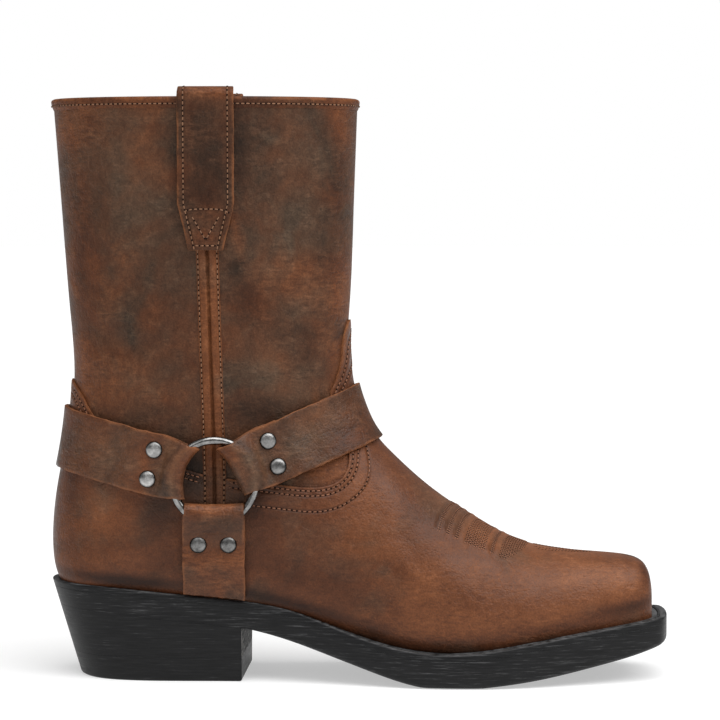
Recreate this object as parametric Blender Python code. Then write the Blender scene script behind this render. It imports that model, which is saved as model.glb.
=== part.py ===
# Western harness boot for the right foot: hollow leather upper, harness of straps and rings, stacked sole.
# Tables and sizes are in millimetres. x runs from the back of the heel to the toe, y to the inner side, z up.

import math

import bmesh
import bpy
import numpy as np
from mathutils import Matrix, Vector

MM = 0.001
ORIGIN_X = 151.65
LATERAL, MEDIAL = "lateral", "medial"

# Leather thicknesses and the gap left between pieces
GAP = 0.3
STRAP_GAP = 0.4
WALL = 2.0
OVERLAY = 1.2
STRAP = 2.2
BINDING = 0.8

# Sole
HEEL_BREAST = 96.0
HEEL_RAKE = 0.305
HEEL_TAPER = 3.0
LIFT_HEIGHT = 12.0
WELT_HEIGHT = 3.3
WELT_WIDTH = 13.0
RIM_HEIGHT = 2.7
RIM_WIDTH = 5.0
HEEL_EDGE = 1.0
INSOLE_HEIGHT = 4.0

# Harness
RING_X, RING_Z = 83.2, 98.9
RING_RADIUS = 20.0
WIRE_RADIUS = 2.0
STRAP_WIDTH = 30.0
FOLD_WIDTH = 26.0
STRAP_RISE = 1.3
HEEL_STRAP_ANGLE = 13.1
INSTEP_STRAP_ANGLE = 22.5
FOLD_REACH = 12.2
FOLD_GAP = 0.9
RIVET_AT = 30.6
RIVET_SPREAD = 7.3
TAIL_END = 38.0
SETTLED = 48.0
LANDED = 26.4
PAST_WIRE = 1.8
FLAT_PAST_TAIL = 3.0
RIVET_RADIUS = 3.8
RIVET_HEIGHT = 1.7

# Shaft
COLLAR_Z = 283.4
SEAM_X = 81.5
SEAM_WIDTH = 11.0
BINDING_DEPTH = 4.5
PULL_X = {LATERAL: 79.9, MEDIAL: 77.5}
PULL_STRAP = 1.8
PULL_WIDTH, PULL_TIP_WIDTH = 26.8, 16.4
PULL_TAPER_Z, PULL_TIP_Z, PULL_INNER_Z = 233.0, 210.6, 246.0

# Sections of the upper from the toe to the collar, each in a plane through its low and its high point.
# Columns: low x, low z, high x, high z, half-width outside, half-width inside, place of the widest point,
# power of the curve below it, power above it
SECTIONS = (
    (294.9, 27.5, 294.9, 45.5, 12.6, 20.6, 0.40, 5.0, 3.2),
    (293.4, 26.5, 293.4, 52.0, 16.0, 24.0, 0.36, 5.0, 3.0),
    (289.0, 25.5, 289.0, 56.2, 20.3, 28.3, 0.33, 5.0, 2.7),
    (280.0, 24.0, 280.0, 58.2, 24.7, 32.7, 0.31, 4.8, 2.5),
    (265.0, 21.5, 265.0, 59.4, 30.2, 37.6, 0.30, 4.6, 2.35),
    (245.0, 18.5, 245.0, 61.5, 37.0, 42.4, 0.29, 4.5, 2.2),
    (225.0, 15.0, 225.0, 67.2, 42.6, 44.4, 0.28, 4.5, 2.1),
    (205.0, 12.5, 205.0, 78.7, 45.3, 43.4, 0.28, 4.5, 2.05),
    (185.0, 12.5, 185.0, 92.7, 44.6, 39.5, 0.28, 4.5, 2.05),
    (166.0, 15.5, 168.6, 107.4, 41.8, 35.0, 0.30, 4.5, 2.1),
    (138.0, 24.5, 161.8, 114.5, 38.6, 33.4, 0.33, 4.5, 2.1),
    (105.0, 33.5, 157.3, 120.6, 36.6, 33.4, 0.37, 4.6, 2.1),
    (65.0, 38.0, 153.8, 127.2, 36.0, 34.2, 0.41, 4.8, 2.1),
    (28.0, 41.5, 151.0, 134.3, 36.0, 35.0, 0.44, 4.6, 2.1),
    (6.4, 46.0, 149.0, 140.5, 36.2, 35.6, 0.46, 3.1, 2.1),
    (0.8, 66.0, 147.5, 147.2, 36.6, 36.2, 0.48, 2.3, 2.1),
    (2.8, 92.0, 146.6, 156.0, 37.2, 36.9, 0.49, 2.1, 2.1),
    (7.6, 118.0, 146.2, 166.0, 37.9, 37.8, 0.50, 2.1, 2.1),
    (10.3, 150.0, 147.0, 180.0, 38.8, 38.8, 0.50, 2.1, 2.1),
    (8.1, 183.0, 148.2, 200.0, 39.6, 39.6, 0.50, 2.1, 2.1),
    (5.1, 222.0, 149.2, 230.0, 40.7, 40.7, 0.50, 2.1, 2.1),
    (2.6, 256.0, 150.2, 258.0, 41.7, 41.7, 0.50, 2.1, 2.1),
    (0.5, 283.4, 151.1, 283.4, 42.5, 42.5, 0.50, 2.1, 2.1),
)
COLLAR_ROW = len(SECTIONS) - 1
ANKLE_ROW = 8

# Plan of the sole: x, half-width outside, half-width inside
SOLE_PLAN = (
    (-1.2, 0.0, 0.0),
    (4.0, 17.0, 17.0),
    (11.0, 25.0, 25.0),
    (25.0, 32.0, 32.0),
    (45.0, 35.0, 35.0),
    (70.0, 35.0, 34.5),
    (100.0, 34.8, 32.0),
    (125.0, 37.0, 31.0),
    (150.0, 43.0, 34.0),
    (175.0, 49.5, 41.0),
    (195.0, 52.3, 48.0),
    (215.0, 51.8, 52.0),
    (235.0, 48.0, 51.7),
    (255.0, 41.5, 47.8),
    (275.0, 34.0, 42.0),
    (290.0, 27.5, 36.3),
    (298.0, 22.5, 31.5),
    (303.0, 14.5, 23.5),
    (304.5, -4.5, 4.5),
)

# Side of the sole: x, top of the welt, underside of the outsole. The floor cuts the underside's dip off flat
SOLE_SIDE = (
    (-1.2, 47.6, 35.3),
    (30.0, 46.0, 33.4),
    (60.0, 43.2, 30.3),
    (96.0, 39.8, 26.2),
    (124.0, 34.2, 18.8),
    (140.0, 28.4, 13.3),
    (156.0, 22.9, 7.9),
    (170.0, 19.2, 3.4),
    (182.0, 17.3, 0.5),
    (198.0, 16.4, -0.9),
    (214.0, 17.6, 0.1),
    (240.0, 21.6, 3.2),
    (270.0, 26.4, 9.0),
    (290.0, 29.3, 13.7),
    (304.5, 31.4, 18.0),
)

# Edge of the vamp seen from the side, from the side seam to the top of the tongue: x, z
VAMP_EDGE = (
    (87.3, 100.0),
    (115.7, 96.4),
    (130.4, 95.1),
    (138.3, 95.9),
    (144.2, 98.8),
    (147.4, 104.3),
    (147.6, 111.5),
    (144.0, 125.0),
    (138.0, 138.0),
    (141.2, 148.0),
    (143.2, 157.0),
    (144.2, 167.0),
    (146.6, 176.0),
)

# Edge of the counter seen from the side, from the side seam to the tip at the back: x, z
COUNTER_EDGE = (
    (75.7, 102.6),
    (48.0, 112.0),
    (30.0, 122.5),
    (22.4, 130.6),
    (16.4, 139.6),
    (10.0, 146.5),
)

# Domed head of a rivet: share of its radius, share of its height
RIVET_PROFILE = ((1.0, 0.0), (1.0, 0.3), (0.72, 0.8), (0.0, 1.0))

# Materials: base colour, roughness, metallic
MATERIALS = {
    "shaft_leather": ((0.085, 0.036, 0.018), 0.5, 0.0),
    "vamp_leather": ((0.125, 0.040, 0.017), 0.45, 0.0),
    "strap_leather": ((0.105, 0.037, 0.017), 0.5, 0.0),
    "binding_leather": ((0.170, 0.055, 0.022), 0.55, 0.0),
    "insole_leather": ((0.330, 0.200, 0.110), 0.7, 0.0),
    "sole_rubber": ((0.014, 0.013, 0.013), 0.45, 0.0),
    "heel_stack": ((0.030, 0.027, 0.025), 0.6, 0.0),
    "nickel": ((0.420, 0.390, 0.350), 0.3, 1.0),
}

# Mesh fineness
FORM_ROWS = (*range(0, 10), *np.arange(10, 15.5, 0.5), 16, 17, 17.5, 18, 20, 22)
SECTION_POINTS = 28
PLAN_STEPS = 36
VAMP_EDGE_POINTS = 24
COUNTER_EDGE_POINTS = 10
BAND_LINES = (-1.0, -0.35, 0.35, 1.0)
FOLD_ANGLES = (-90.0, -45.0, 0.0, 45.0, 90.0)
PULL_BEND_ANGLES = (45.0, 90.0, 135.0)
STRAP_STEPS = 9
RIVET_SIDES = 8
RING_STEPS, WIRE_SIDES = 24, 6
LINE_SAMPLES = 240
LINE_START = 0.12
NEAR = 4.0
ROOM = 60.0


def spline(knots, values):
    """A natural cubic through the values at the knots, as a function that reads any array of places."""
    knots = np.asarray(knots, float)
    values = np.asarray(values, float)
    step = np.diff(knots)
    slope = np.diff(values, axis=0) / step[:, None]
    count = len(knots)
    system = np.eye(count)
    right = np.zeros_like(values)
    for i in range(1, count - 1):
        system[i, i - 1 : i + 2] = step[i - 1], 2 * (step[i - 1] + step[i]), step[i]
        right[i] = 6 * (slope[i] - slope[i - 1])
    bend = np.linalg.solve(system, right)

    def read(at):
        at = np.asarray(at, float)
        i = np.clip(np.searchsorted(knots, at) - 1, 0, count - 2)
        h = step[i][..., None]
        a = (knots[i + 1] - at)[..., None] / h
        b = 1 - a
        curved = ((a**3 - a) * bend[i] + (b**3 - b) * bend[i + 1]) * h**2 / 6
        return a * values[i] + b * values[i + 1] + curved

    return read


section_at = spline(range(len(SECTIONS)), SECTIONS)
sole_side_at = spline([row[0] for row in SOLE_SIDE], [row[1:] for row in SOLE_SIDE])
PLAN_BACK, PLAN_FRONT = SOLE_PLAN[0][0], SOLE_PLAN[-1][0]
PLAN_HALF = (PLAN_FRONT - PLAN_BACK) / 2
plan_at = spline(
    [math.acos(np.clip(1 - (row[0] - PLAN_BACK) / PLAN_HALF, -1, 1)) for row in SOLE_PLAN],
    [row[1:] for row in SOLE_PLAN],
)


def welt_top(x):
    return sole_side_at(x)[..., 0]


def underside(x):
    return np.maximum(sole_side_at(x)[..., 1], 0.0)


def surface(turn, row):
    """Points of the upper's outer face. turn is 0 at a section's low point, goes up the outside to 1 at its
    high point, and down the inside to 2."""
    turn, row = np.broadcast_arrays(np.asarray(turn, float), np.asarray(row, float))
    columns = np.moveaxis(section_at(row), -1, 0)
    low_x, low_z, high_x, high_z, outside, inside, widest, below, above = columns
    up = -np.cos(math.pi * turn)
    across = np.sin(math.pi * turn)
    power = np.where(up > 0, above, below)
    reach = np.where(up > 0, 1 - widest, widest)
    share = widest + np.sign(up) * reach * np.abs(up) ** (2 / power)
    half = np.where(across > 0, outside, inside)
    y = -np.sign(across) * half * np.abs(across) ** (2 / power)
    return np.stack([low_x + (high_x - low_x) * share, y, low_z + (high_z - low_z) * share], -1)


def normal(turn, row, step=2e-3):
    turn, row = np.broadcast_arrays(np.asarray(turn, float), np.asarray(row, float))
    around = surface(turn + step, row) - surface(turn - step, row)
    along = surface(turn, np.minimum(row + step, COLLAR_ROW)) - surface(turn, np.maximum(row - step, 0.0))
    out = np.cross(around, along)
    return out / np.linalg.norm(out, axis=-1, keepdims=True)


def lifted(turn, row, height):
    return surface(turn, row) + np.asarray(height, float)[..., None] * normal(turn, row)


def halved(excess, low, high, rounds=50):
    """The place between low and high where excess turns from negative to positive."""
    for _ in range(rounds):
        middle = (low + high) / 2
        over = excess(middle) > 0
        high = np.where(over, middle, high)
        low = np.where(over, low, middle)
    return (low + high) / 2


def locate(x, z):
    """turn and row of the outer face's point seen from the side at x, z."""
    x, z = np.broadcast_arrays(np.asarray(x, float), np.asarray(z, float))

    def ahead(row):
        low_x, low_z, high_x, high_z = np.moveaxis(section_at(row), -1, 0)[:4]
        return (x - low_x) * (high_z - low_z) - (z - low_z) * (high_x - low_x)

    row = halved(ahead, np.zeros(x.shape), np.full(x.shape, float(COLLAR_ROW)))
    low_x, low_z, high_x, high_z, _, _, widest, below, above = np.moveaxis(section_at(row), -1, 0)
    span = (high_x - low_x) ** 2 + (high_z - low_z) ** 2
    share = ((x - low_x) * (high_x - low_x) + (z - low_z) * (high_z - low_z)) / span
    share = np.clip(share, 0, 1)
    power = np.where(share > widest, above, below)
    reach = np.where(share > widest, 1 - widest, widest)
    up = np.sign(share - widest) * (np.abs(share - widest) / reach) ** (power / 2)
    return np.arccos(np.clip(-up, -1, 1)) / math.pi, row


def sided(turn, side):
    return turn if side == LATERAL else 2 - turn


def add_object(name, points, faces, material):
    mesh = bpy.data.meshes.new(name)
    places = (np.asarray(points, float) - (ORIGIN_X, 0.0, 0.0)) * MM
    mesh.from_pydata(places.tolist(), [], faces)
    body = bmesh.new()
    body.from_mesh(mesh)
    bmesh.ops.remove_doubles(body, verts=body.verts, dist=1e-7)
    bmesh.ops.recalc_face_normals(body, faces=body.faces)
    body.to_mesh(mesh)
    body.free()
    made = bpy.data.objects.new(name, mesh)
    bpy.context.scene.collection.objects.link(made)
    if material:
        made.data.materials.append(bpy.data.materials[material])
    return made


def add_stack(name, loops, material, closed=False):
    """A solid through loops of equally many points. It is capped at both ends, or closed into a ring."""
    count = len(loops[0])
    points = np.concatenate(loops)
    faces = []
    for k in range(len(loops) if closed else len(loops) - 1):
        low = k * count
        high = (k + 1) % len(loops) * count
        for j in range(count):
            n = (j + 1) % count
            faces.append((low + j, low + n, high + n, high + j))
    for base in () if closed else (0, (len(loops) - 1) * count):
        for j in range(count // 2):
            ring = [base + j, base + j + 1, base + (count - j - 1) % count, base + (count - j) % count]
            faces.append(tuple(dict.fromkeys(ring)))
    return add_object(name, points, faces, material)


def add_sheet(name, grid, thickness, material):
    """A leather sheet through a grid of points on its middle."""
    rows, columns = grid.shape[:2]
    faces = []
    for i in range(rows - 1):
        for j in range(columns - 1):
            corner = i * columns + j
            faces.append((corner, corner + 1, corner + columns + 1, corner + columns))
    made = add_object(name, grid.reshape(-1, 3), faces, material)
    solid = made.modifiers.new("Thickness", "SOLIDIFY")
    solid.thickness = thickness * MM
    solid.offset = 0.0
    solid.use_even_offset = True
    return made


def as_cutter(made):
    made.hide_render = True
    made.display_type = "WIRE"
    return made


def cut(made, operation, cutter):
    change = made.modifiers.new(operation.title(), "BOOLEAN")
    change.operation = operation
    change.solver = "EXACT"
    change.object = cutter


def form_loops(height):
    turns = np.arange(SECTION_POINTS) / (SECTION_POINTS / 2)
    rows = np.array(FORM_ROWS, float)
    points = lifted(turns[None, :], rows[:, None], np.full((1, 1), height))
    return list(points)


def add_form(name, height, material=None, raise_by=0.0):
    """The whole boot's outside as a filled solid, moved out by height; raise_by lengthens the shaft."""
    loops = form_loops(height)
    if raise_by:
        loops.append(loops[-1] + (0.0, 0.0, raise_by))
    return add_stack(name, loops, material)


def add_prism(name, outline, y_from, y_to):
    """A cutter: an outline seen from the side, drawn out across the boot."""
    outline = np.asarray(outline, float)
    count = len(outline)
    points = [(x, y, z) for y in (y_from, y_to) for x, z in outline]
    faces = [tuple(range(count)), tuple(range(2 * count - 1, count - 1, -1))]
    for j in range(count):
        n = (j + 1) % count
        faces.append((j, n, count + n, count + j))
    return as_cutter(add_object(name, points, faces, None))


def smooth_edge(rows, count):
    edge = np.asarray(rows, float)
    length = np.concatenate([[0.0], np.cumsum(np.linalg.norm(np.diff(edge, axis=0), axis=1))])
    return spline(length, edge)(np.linspace(0, length[-1], count))


def plan_loop(inset, heel_inset=None):
    """The sole's outline seen from above, from the heel's back along the outside to the toe and back."""
    half = np.linspace(0, math.pi, PLAN_STEPS + 1)
    widths = plan_at(half)
    x = PLAN_BACK + PLAN_HALF * (1 - np.cos(half))
    outer = np.stack([x, -widths[:, 0]], -1)
    inner = np.stack([x, widths[:, 1]], -1)
    loop = np.concatenate([outer, inner[-2:0:-1]])
    ahead = np.roll(loop, -1, axis=0) - np.roll(loop, 1, axis=0)
    ahead /= np.linalg.norm(ahead, axis=1, keepdims=True)
    if heel_inset is not None:
        inset = np.where(loop[:, :1] < HEEL_BREAST, heel_inset, inset)
    return loop + inset * np.stack([-ahead[:, 1], ahead[:, 0]], -1)


def raked(plan, z):
    """The plan at the heights z, with the back of the heel sloping in towards the floor."""
    drop = HEEL_RAKE * (welt_top(plan[:, 0]) - z)
    back = np.clip((HEEL_BREAST - plan[:, 0]) / (HEEL_BREAST - PLAN_BACK), 0, 1)
    return np.stack([plan[:, 0] + drop * back, plan[:, 1], z], -1)


def sole_level(inset, height_at, heel_inset=None):
    plan = plan_loop(inset, heel_inset)
    return raked(plan, height_at(plan[:, 0]))


def heel_level(inset, z_at):
    """The part of the sole's plan behind the breast, tapered towards the floor."""
    breast = math.acos(1 - (HEEL_BREAST - PLAN_BACK) / PLAN_HALF)
    half = np.linspace(0, breast, PLAN_STEPS // 2 + 1)
    widths = plan_at(half)
    x = PLAN_BACK + PLAN_HALF * (1 - np.cos(half))
    top = underside(x)
    z = np.broadcast_to(z_at(x), x.shape)
    narrow = HEEL_TAPER * (1 - z / top) + inset
    round_in = np.clip(widths / widths.max(), 0, 1)
    shift = inset * (1 - 2 * x / HEEL_BREAST)
    outer = raked(np.stack([x, -widths[:, 0] + narrow * round_in[:, 0]], -1), z)
    inner = raked(np.stack([x, widths[:, 1] - narrow * round_in[:, 1]], -1), z)
    outer[:, 0] += shift
    inner[:, 0] += shift
    return np.concatenate([outer, inner[:0:-1]])


def add_turned(name, profile, frame, segments, material):
    """A round head: the profile of radius and height turned about the frame's axis."""
    body = bmesh.new()
    points = [body.verts.new((radius, 0.0, height)) for radius, height in profile]
    edges = [body.edges.new(pair) for pair in zip(points, points[1:])]
    round_z = {"cent": (0.0, 0.0, 0.0), "axis": (0.0, 0.0, 1.0), "angle": 2 * math.pi}
    bmesh.ops.spin(body, geom=points + edges, steps=segments, use_duplicate=False, **round_z)
    bmesh.ops.remove_doubles(body, verts=body.verts, dist=1e-6)
    bmesh.ops.holes_fill(body, edges=[edge for edge in body.edges if edge.is_boundary], sides=0)
    bmesh.ops.recalc_face_normals(body, faces=body.faces)
    mesh = bpy.data.meshes.new(name)
    body.to_mesh(mesh)
    body.free()
    mesh.transform(frame)
    made = bpy.data.objects.new(name, mesh)
    bpy.context.scene.collection.objects.link(made)
    mesh.materials.append(bpy.data.materials[material])
    return made


def frame_at(point, out):
    """A frame in metres at the point, its z along out and its x towards the toe."""
    out = Vector(out).normalized()
    toe = Vector((1.0, 0.0, 0.0))
    toe = (toe - out * toe.dot(out)).normalized()
    frame = Matrix((toe, out.cross(toe), out)).transposed().to_4x4()
    frame.translation = (Vector(point) - Vector((ORIGIN_X, 0.0, 0.0))) * MM
    return frame


class Ring:
    """Where a ring lies: its centre, its plane and the way out of the boot."""

    def __init__(self, side):
        turn, row = locate(RING_X, RING_Z)
        turn = sided(turn, side)
        self.out = normal(turn, row)
        self.centre = surface(turn, row) + self.out * WIRE_CENTRE
        toe = np.array((1.0, 0.0, 0.0))
        self.toe = toe - self.out * toe.dot(self.out)
        self.toe /= np.linalg.norm(self.toe)
        self.up = np.cross(self.out, self.toe)
        self.up *= math.copysign(1.0, self.up[2])

    def point(self, x, z):
        return self.centre + x * self.toe + z * self.up


SEAT = GAP + OVERLAY + STRAP_GAP
LOWER_LAYER = SEAT + STRAP / 2
UPPER_LAYER = LOWER_LAYER + STRAP + GAP
WIRE_CENTRE = SEAT + STRAP + FOLD_GAP + WIRE_RADIUS
FOLD_RADIUS = WIRE_RADIUS + GAP + STRAP / 2


class StrapLine:
    """One line along a strap, so far across from its middle, as points on the upper and their normals."""

    def __init__(self, side, direction, across, ends_at):
        ahead = np.array(direction)
        left = np.array((-ahead[1], ahead[0])) * math.copysign(1.0, ahead[0] or 1.0)
        self.ahead = ahead
        self.left = left
        self.across = across
        centre = np.array((RING_X, RING_Z))
        if ends_at is None:
            t = np.linspace(-NEAR, RING_Z, LINE_SAMPLES)
            seen = centre + t[:, None] * ahead + across * left
            turn, row = locate(seen[:, 0], seen[:, 1])
            edge = lifted(turn, row, np.full(turn.shape, LOWER_LAYER + STRAP / 2))
            keep = edge[:, 2] > welt_top(seen[:, 0]) + 2 * GAP
            turn, row = turn[keep], row[keep]
        else:
            start = 0.5 + LINE_START * (1 - 2 * ends_at)
            turn = np.linspace(start, ends_at, LINE_SAMPLES)

            def above(row):
                return (surface(turn, row)[:, ::2] - centre) @ left - across

            lowest = np.full(turn.shape, float(ANKLE_ROW))
            row = halved(above, lowest, np.full(turn.shape, float(COLLAR_ROW)))
        self.turn = sided(turn, side)
        self.row = row
        self.base = surface(self.turn, self.row)
        self.out = normal(self.turn, self.row)
        t = (self.base[:, ::2] - centre) @ ahead
        run = np.concatenate([[0.0], np.cumsum(np.linalg.norm(np.diff(self.base, axis=0), axis=1))])
        self.run = run - np.interp(0.0, t, run)
        self.end = self.run[-1]

    def at(self, run, height):
        base = [np.interp(run, self.run, self.base[:, k]) for k in range(3)]
        out = np.array([np.interp(run, self.run, self.out[:, k]) for k in range(3)])
        return np.array(base) + height * out / np.linalg.norm(out)


def strap_line_points(line, fold_line, ring, rests):
    """Middle of the strap along one line: its tail, the fold round the ring, and on to its far end."""
    along = math.sqrt(RING_RADIUS**2 - fold_line.across**2)
    seen = along * fold_line.ahead + fold_line.across * fold_line.left
    wire = ring.point(*seen)
    inward = fold_line.at(along - NEAR, 0.0) - fold_line.at(along + NEAR, 0.0)
    out = fold_line.at(along, 1.0) - fold_line.at(along, 0.0)
    inward -= out * inward.dot(out)
    inward /= np.linalg.norm(inward)
    inside_wire = math.sqrt((RING_RADIUS - WIRE_RADIUS) ** 2 - fold_line.across**2)
    fold_end = min(FOLD_REACH, inside_wire - FOLD_GAP - STRAP) + STRAP / 2
    turn_centre = wire + inward * (along - fold_end - FOLD_RADIUS)
    points = [line.at(TAIL_END, LOWER_LAYER), line.at(RIVET_AT, LOWER_LAYER)]
    points.append(line.at(LANDED, LOWER_LAYER))
    points.append(wire - inward * PAST_WIRE - out * FOLD_RADIUS)
    for angle in np.radians(FOLD_ANGLES):
        points.append(turn_centre + FOLD_RADIUS * (math.cos(angle) * inward + math.sin(angle) * out))
    points.append(wire - inward * PAST_WIRE + out * FOLD_RADIUS)
    points.append(line.at(LANDED, UPPER_LAYER))
    points.append(line.at(RIVET_AT, UPPER_LAYER))
    points.append(line.at(TAIL_END, UPPER_LAYER))
    points.append(line.at(TAIL_END + FLAT_PAST_TAIL, UPPER_LAYER))
    points.append(line.at(SETTLED, LOWER_LAYER))
    for share in rests:
        points.append(line.at(SETTLED + (line.end - SETTLED) * share, LOWER_LAYER))
    return points


def strap_half(side, direction, ends_at, rise, rests):
    ring = Ring(side)
    lines = []
    for share in BAND_LINES:
        wide = StrapLine(side, direction, share * STRAP_WIDTH / 2 + rise, ends_at)
        folded = StrapLine(side, direction, share * FOLD_WIDTH / 2 + rise, ends_at)
        lines.append(strap_line_points(wide, folded, ring, rests))
    return np.array(lines).transpose(1, 0, 2)


def add_strap(name, angle, ends_at):
    """A harness strap from ring to ring, round the heel or over the instep."""
    direction = (math.copysign(math.cos(angle), ends_at - 0.5), math.sin(angle))
    rests = np.sin(np.linspace(0.0, math.pi / 2, STRAP_STEPS + 1)[1:])
    outer = strap_half(LATERAL, direction, ends_at, STRAP_RISE, rests)
    inner = strap_half(MEDIAL, direction, ends_at, STRAP_RISE, rests)
    return add_sheet(name, np.concatenate([outer, inner[-2::-1]]), STRAP, "strap_leather")


def add_under_strap(side):
    half = strap_half(side, (0.0, -1.0), None, 0.0, (0.5, 1.0))
    return add_sheet(f"under_strap_{side}", half, STRAP, "strap_leather")


def add_rivets(strap, side, direction, ends_at, rise):
    for number, across in enumerate((RIVET_SPREAD + rise, rise - RIVET_SPREAD), 1):
        line = StrapLine(side, direction, across, ends_at)
        seat = line.at(RIVET_AT, UPPER_LAYER + STRAP / 2 + GAP)
        out = seat - line.at(RIVET_AT, 0.0)
        profile = [(r * RIVET_RADIUS * MM, h * RIVET_HEIGHT * MM) for r, h in RIVET_PROFILE]
        name = f"rivet_{strap}_{side}_{number}"
        add_turned(name, profile, frame_at(seat, out), RIVET_SIDES, "nickel")


def add_ring(side):
    ring = Ring(side)
    radii = {"major_radius": RING_RADIUS * MM, "minor_radius": WIRE_RADIUS * MM}
    bpy.ops.mesh.primitive_torus_add(major_segments=RING_STEPS, minor_segments=WIRE_SIDES, **radii)
    made = bpy.context.object
    made.name = made.data.name = f"ring_{side}"
    made.matrix_world = frame_at(ring.centre, ring.out)
    made.data.materials.append(bpy.data.materials["nickel"])


def add_pull_strap(side):
    """A strap from its tapered end up the outside, over the collar and down the inside."""
    outside = GAP + OVERLAY + GAP + PULL_STRAP / 2
    inside = -(WALL + GAP + BINDING + GAP + PULL_STRAP / 2)
    bend = (outside - inside) / 2
    top = COLLAR_Z + GAP + BINDING + GAP
    path = [(z, outside) for z in (PULL_TIP_Z, PULL_TAPER_Z, (PULL_TAPER_Z + COLLAR_Z) / 2, COLLAR_Z)]
    path.append((top, outside))
    for angle in np.radians(PULL_BEND_ANGLES):
        path.append((top + bend * math.sin(angle), (outside + inside) / 2 + bend * math.cos(angle)))
    path.append((top, inside))
    path.extend((z, inside) for z in (COLLAR_Z, (PULL_INNER_Z + COLLAR_Z) / 2, PULL_INNER_Z))
    widths = np.interp([z for z, _ in path], (PULL_TIP_Z, PULL_TAPER_Z), (PULL_TIP_WIDTH, PULL_WIDTH))
    grid = []
    for (z, height), width in zip(path, widths):
        x = PULL_X[side] + np.array(BAND_LINES) * width / 2
        turn, row = locate(x, min(z, COLLAR_Z))
        points = lifted(sided(turn, side), row, np.full(turn.shape, height))
        points[:, 2] += max(z - COLLAR_Z, 0.0)
        grid.append(points)
    return add_sheet(f"pull_strap_{side}", np.array(grid), PULL_STRAP, "strap_leather")


def add_binding():
    """The folded strip over the collar: an upside-down U drawn round it."""
    turns = np.arange(SECTION_POINTS) / (SECTION_POINTS / 2)
    outside = GAP + BINDING
    inside = -WALL - GAP - BINDING
    low = -BINDING_DEPTH
    high = GAP + BINDING
    corners = [(outside, low), (outside, high), (inside, high), (inside, low)]
    corners += [(inside + BINDING, low), (inside + BINDING, GAP), (GAP, GAP), (GAP, low)]
    loops = []
    shaft_z = [row[3] for row in SECTIONS[ANKLE_ROW:]]
    for height, rise in corners:
        row = ANKLE_ROW + np.interp(COLLAR_Z + rise, shaft_z, np.arange(len(shaft_z)))
        loop = lifted(turns, np.full(turns.shape, row), np.full(turns.shape, height))
        loop[:, 2] = COLLAR_Z + rise
        loops.append(loop)
    return add_stack("collar_binding", loops, "binding_leather", closed=True)


def add_materials():
    for name, (colour, roughness, metallic) in MATERIALS.items():
        made = bpy.data.materials.new(name)
        made.use_nodes = True
        shader = made.node_tree.nodes["Principled BSDF"]
        shader.inputs["Base Color"].default_value = (*colour, 1.0)
        shader.inputs["Roughness"].default_value = roughness
        shader.inputs["Metallic"].default_value = metallic
        made.diffuse_color = (*colour, 1.0)


def add_upper():
    """The hollow wall of foot and shaft, open at the collar and underneath."""
    room = as_cutter(add_form("foot_room", -WALL, raise_by=ROOM))
    ground = as_cutter(add_stack("below_upper", [below_level(GAP), below_level(-ROOM)], None))
    upper = add_form("upper", 0.0, "shaft_leather")
    cut(upper, "DIFFERENCE", room)
    cut(upper, "DIFFERENCE", ground)
    return ground


def below_level(rise):
    """A level larger than the sole, so high above the welt's top."""
    x = PLAN_BACK + PLAN_HALF * (1 - np.cos(np.linspace(0, math.pi, PLAN_STEPS + 1)))
    z = welt_top(x) + rise
    x[[0, -1]] += (-ROOM, ROOM)
    outer = np.stack([x, np.full(x.shape, -2 * ROOM), z], -1)
    inner = np.stack([x, np.full(x.shape, 2 * ROOM), z], -1)
    return np.concatenate([outer, inner[::-1]])


def add_overlays(ground):
    """Vamp, counter and side seams: what lies between two larger forms, inside an outline from the side."""
    inner = as_cutter(add_form("overlay_seat", GAP, raise_by=ROOM))
    half_seam = SEAM_WIDTH / 2
    vamp = smooth_edge(VAMP_EDGE, VAMP_EDGE_POINTS).tolist()
    front = PLAN_FRONT + ROOM
    vamp_outline = [(VAMP_EDGE[0][0], -ROOM), *vamp, (front, VAMP_EDGE[-1][1]), (front, -ROOM)]
    counter = smooth_edge(COUNTER_EDGE, COUNTER_EDGE_POINTS).tolist()
    tip_z = COUNTER_EDGE[-1][1]
    counter_outline = [(COUNTER_EDGE[0][0], -ROOM), *counter, (-ROOM, tip_z), (-ROOM, -ROOM)]
    seam_top = COLLAR_Z - BINDING_DEPTH - GAP
    seam_outline = [(SEAM_X - half_seam, -ROOM), (SEAM_X + half_seam, -ROOM)]
    seam_outline += [(SEAM_X + half_seam, seam_top), (SEAM_X - half_seam, seam_top)]
    pieces = (
        ("vamp", vamp_outline, -2 * ROOM, 2 * ROOM, "vamp_leather"),
        ("counter", counter_outline, -2 * ROOM, 2 * ROOM, "vamp_leather"),
        ("side_seam_lateral", seam_outline, -2 * ROOM, 0.0, "shaft_leather"),
        ("side_seam_medial", seam_outline, 0.0, 2 * ROOM, "shaft_leather"),
    )
    for name, outline, y_from, y_to, material in pieces:
        piece = add_form(name, GAP + OVERLAY, material)
        cut(piece, "DIFFERENCE", inner)
        cut(piece, "INTERSECT", add_prism(f"{name}_outline", outline, y_from, y_to))
        cut(piece, "DIFFERENCE", ground)


def add_insole():
    """The footbed: the foot room's own shape between two levels above the welt."""
    insole = add_form("insole", -WALL - GAP, "insole_leather")
    levels = [below_level(GAP), below_level(GAP + INSOLE_HEIGHT)]
    cut(insole, "INTERSECT", as_cutter(add_stack("insole_slab", levels, None)))


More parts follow.
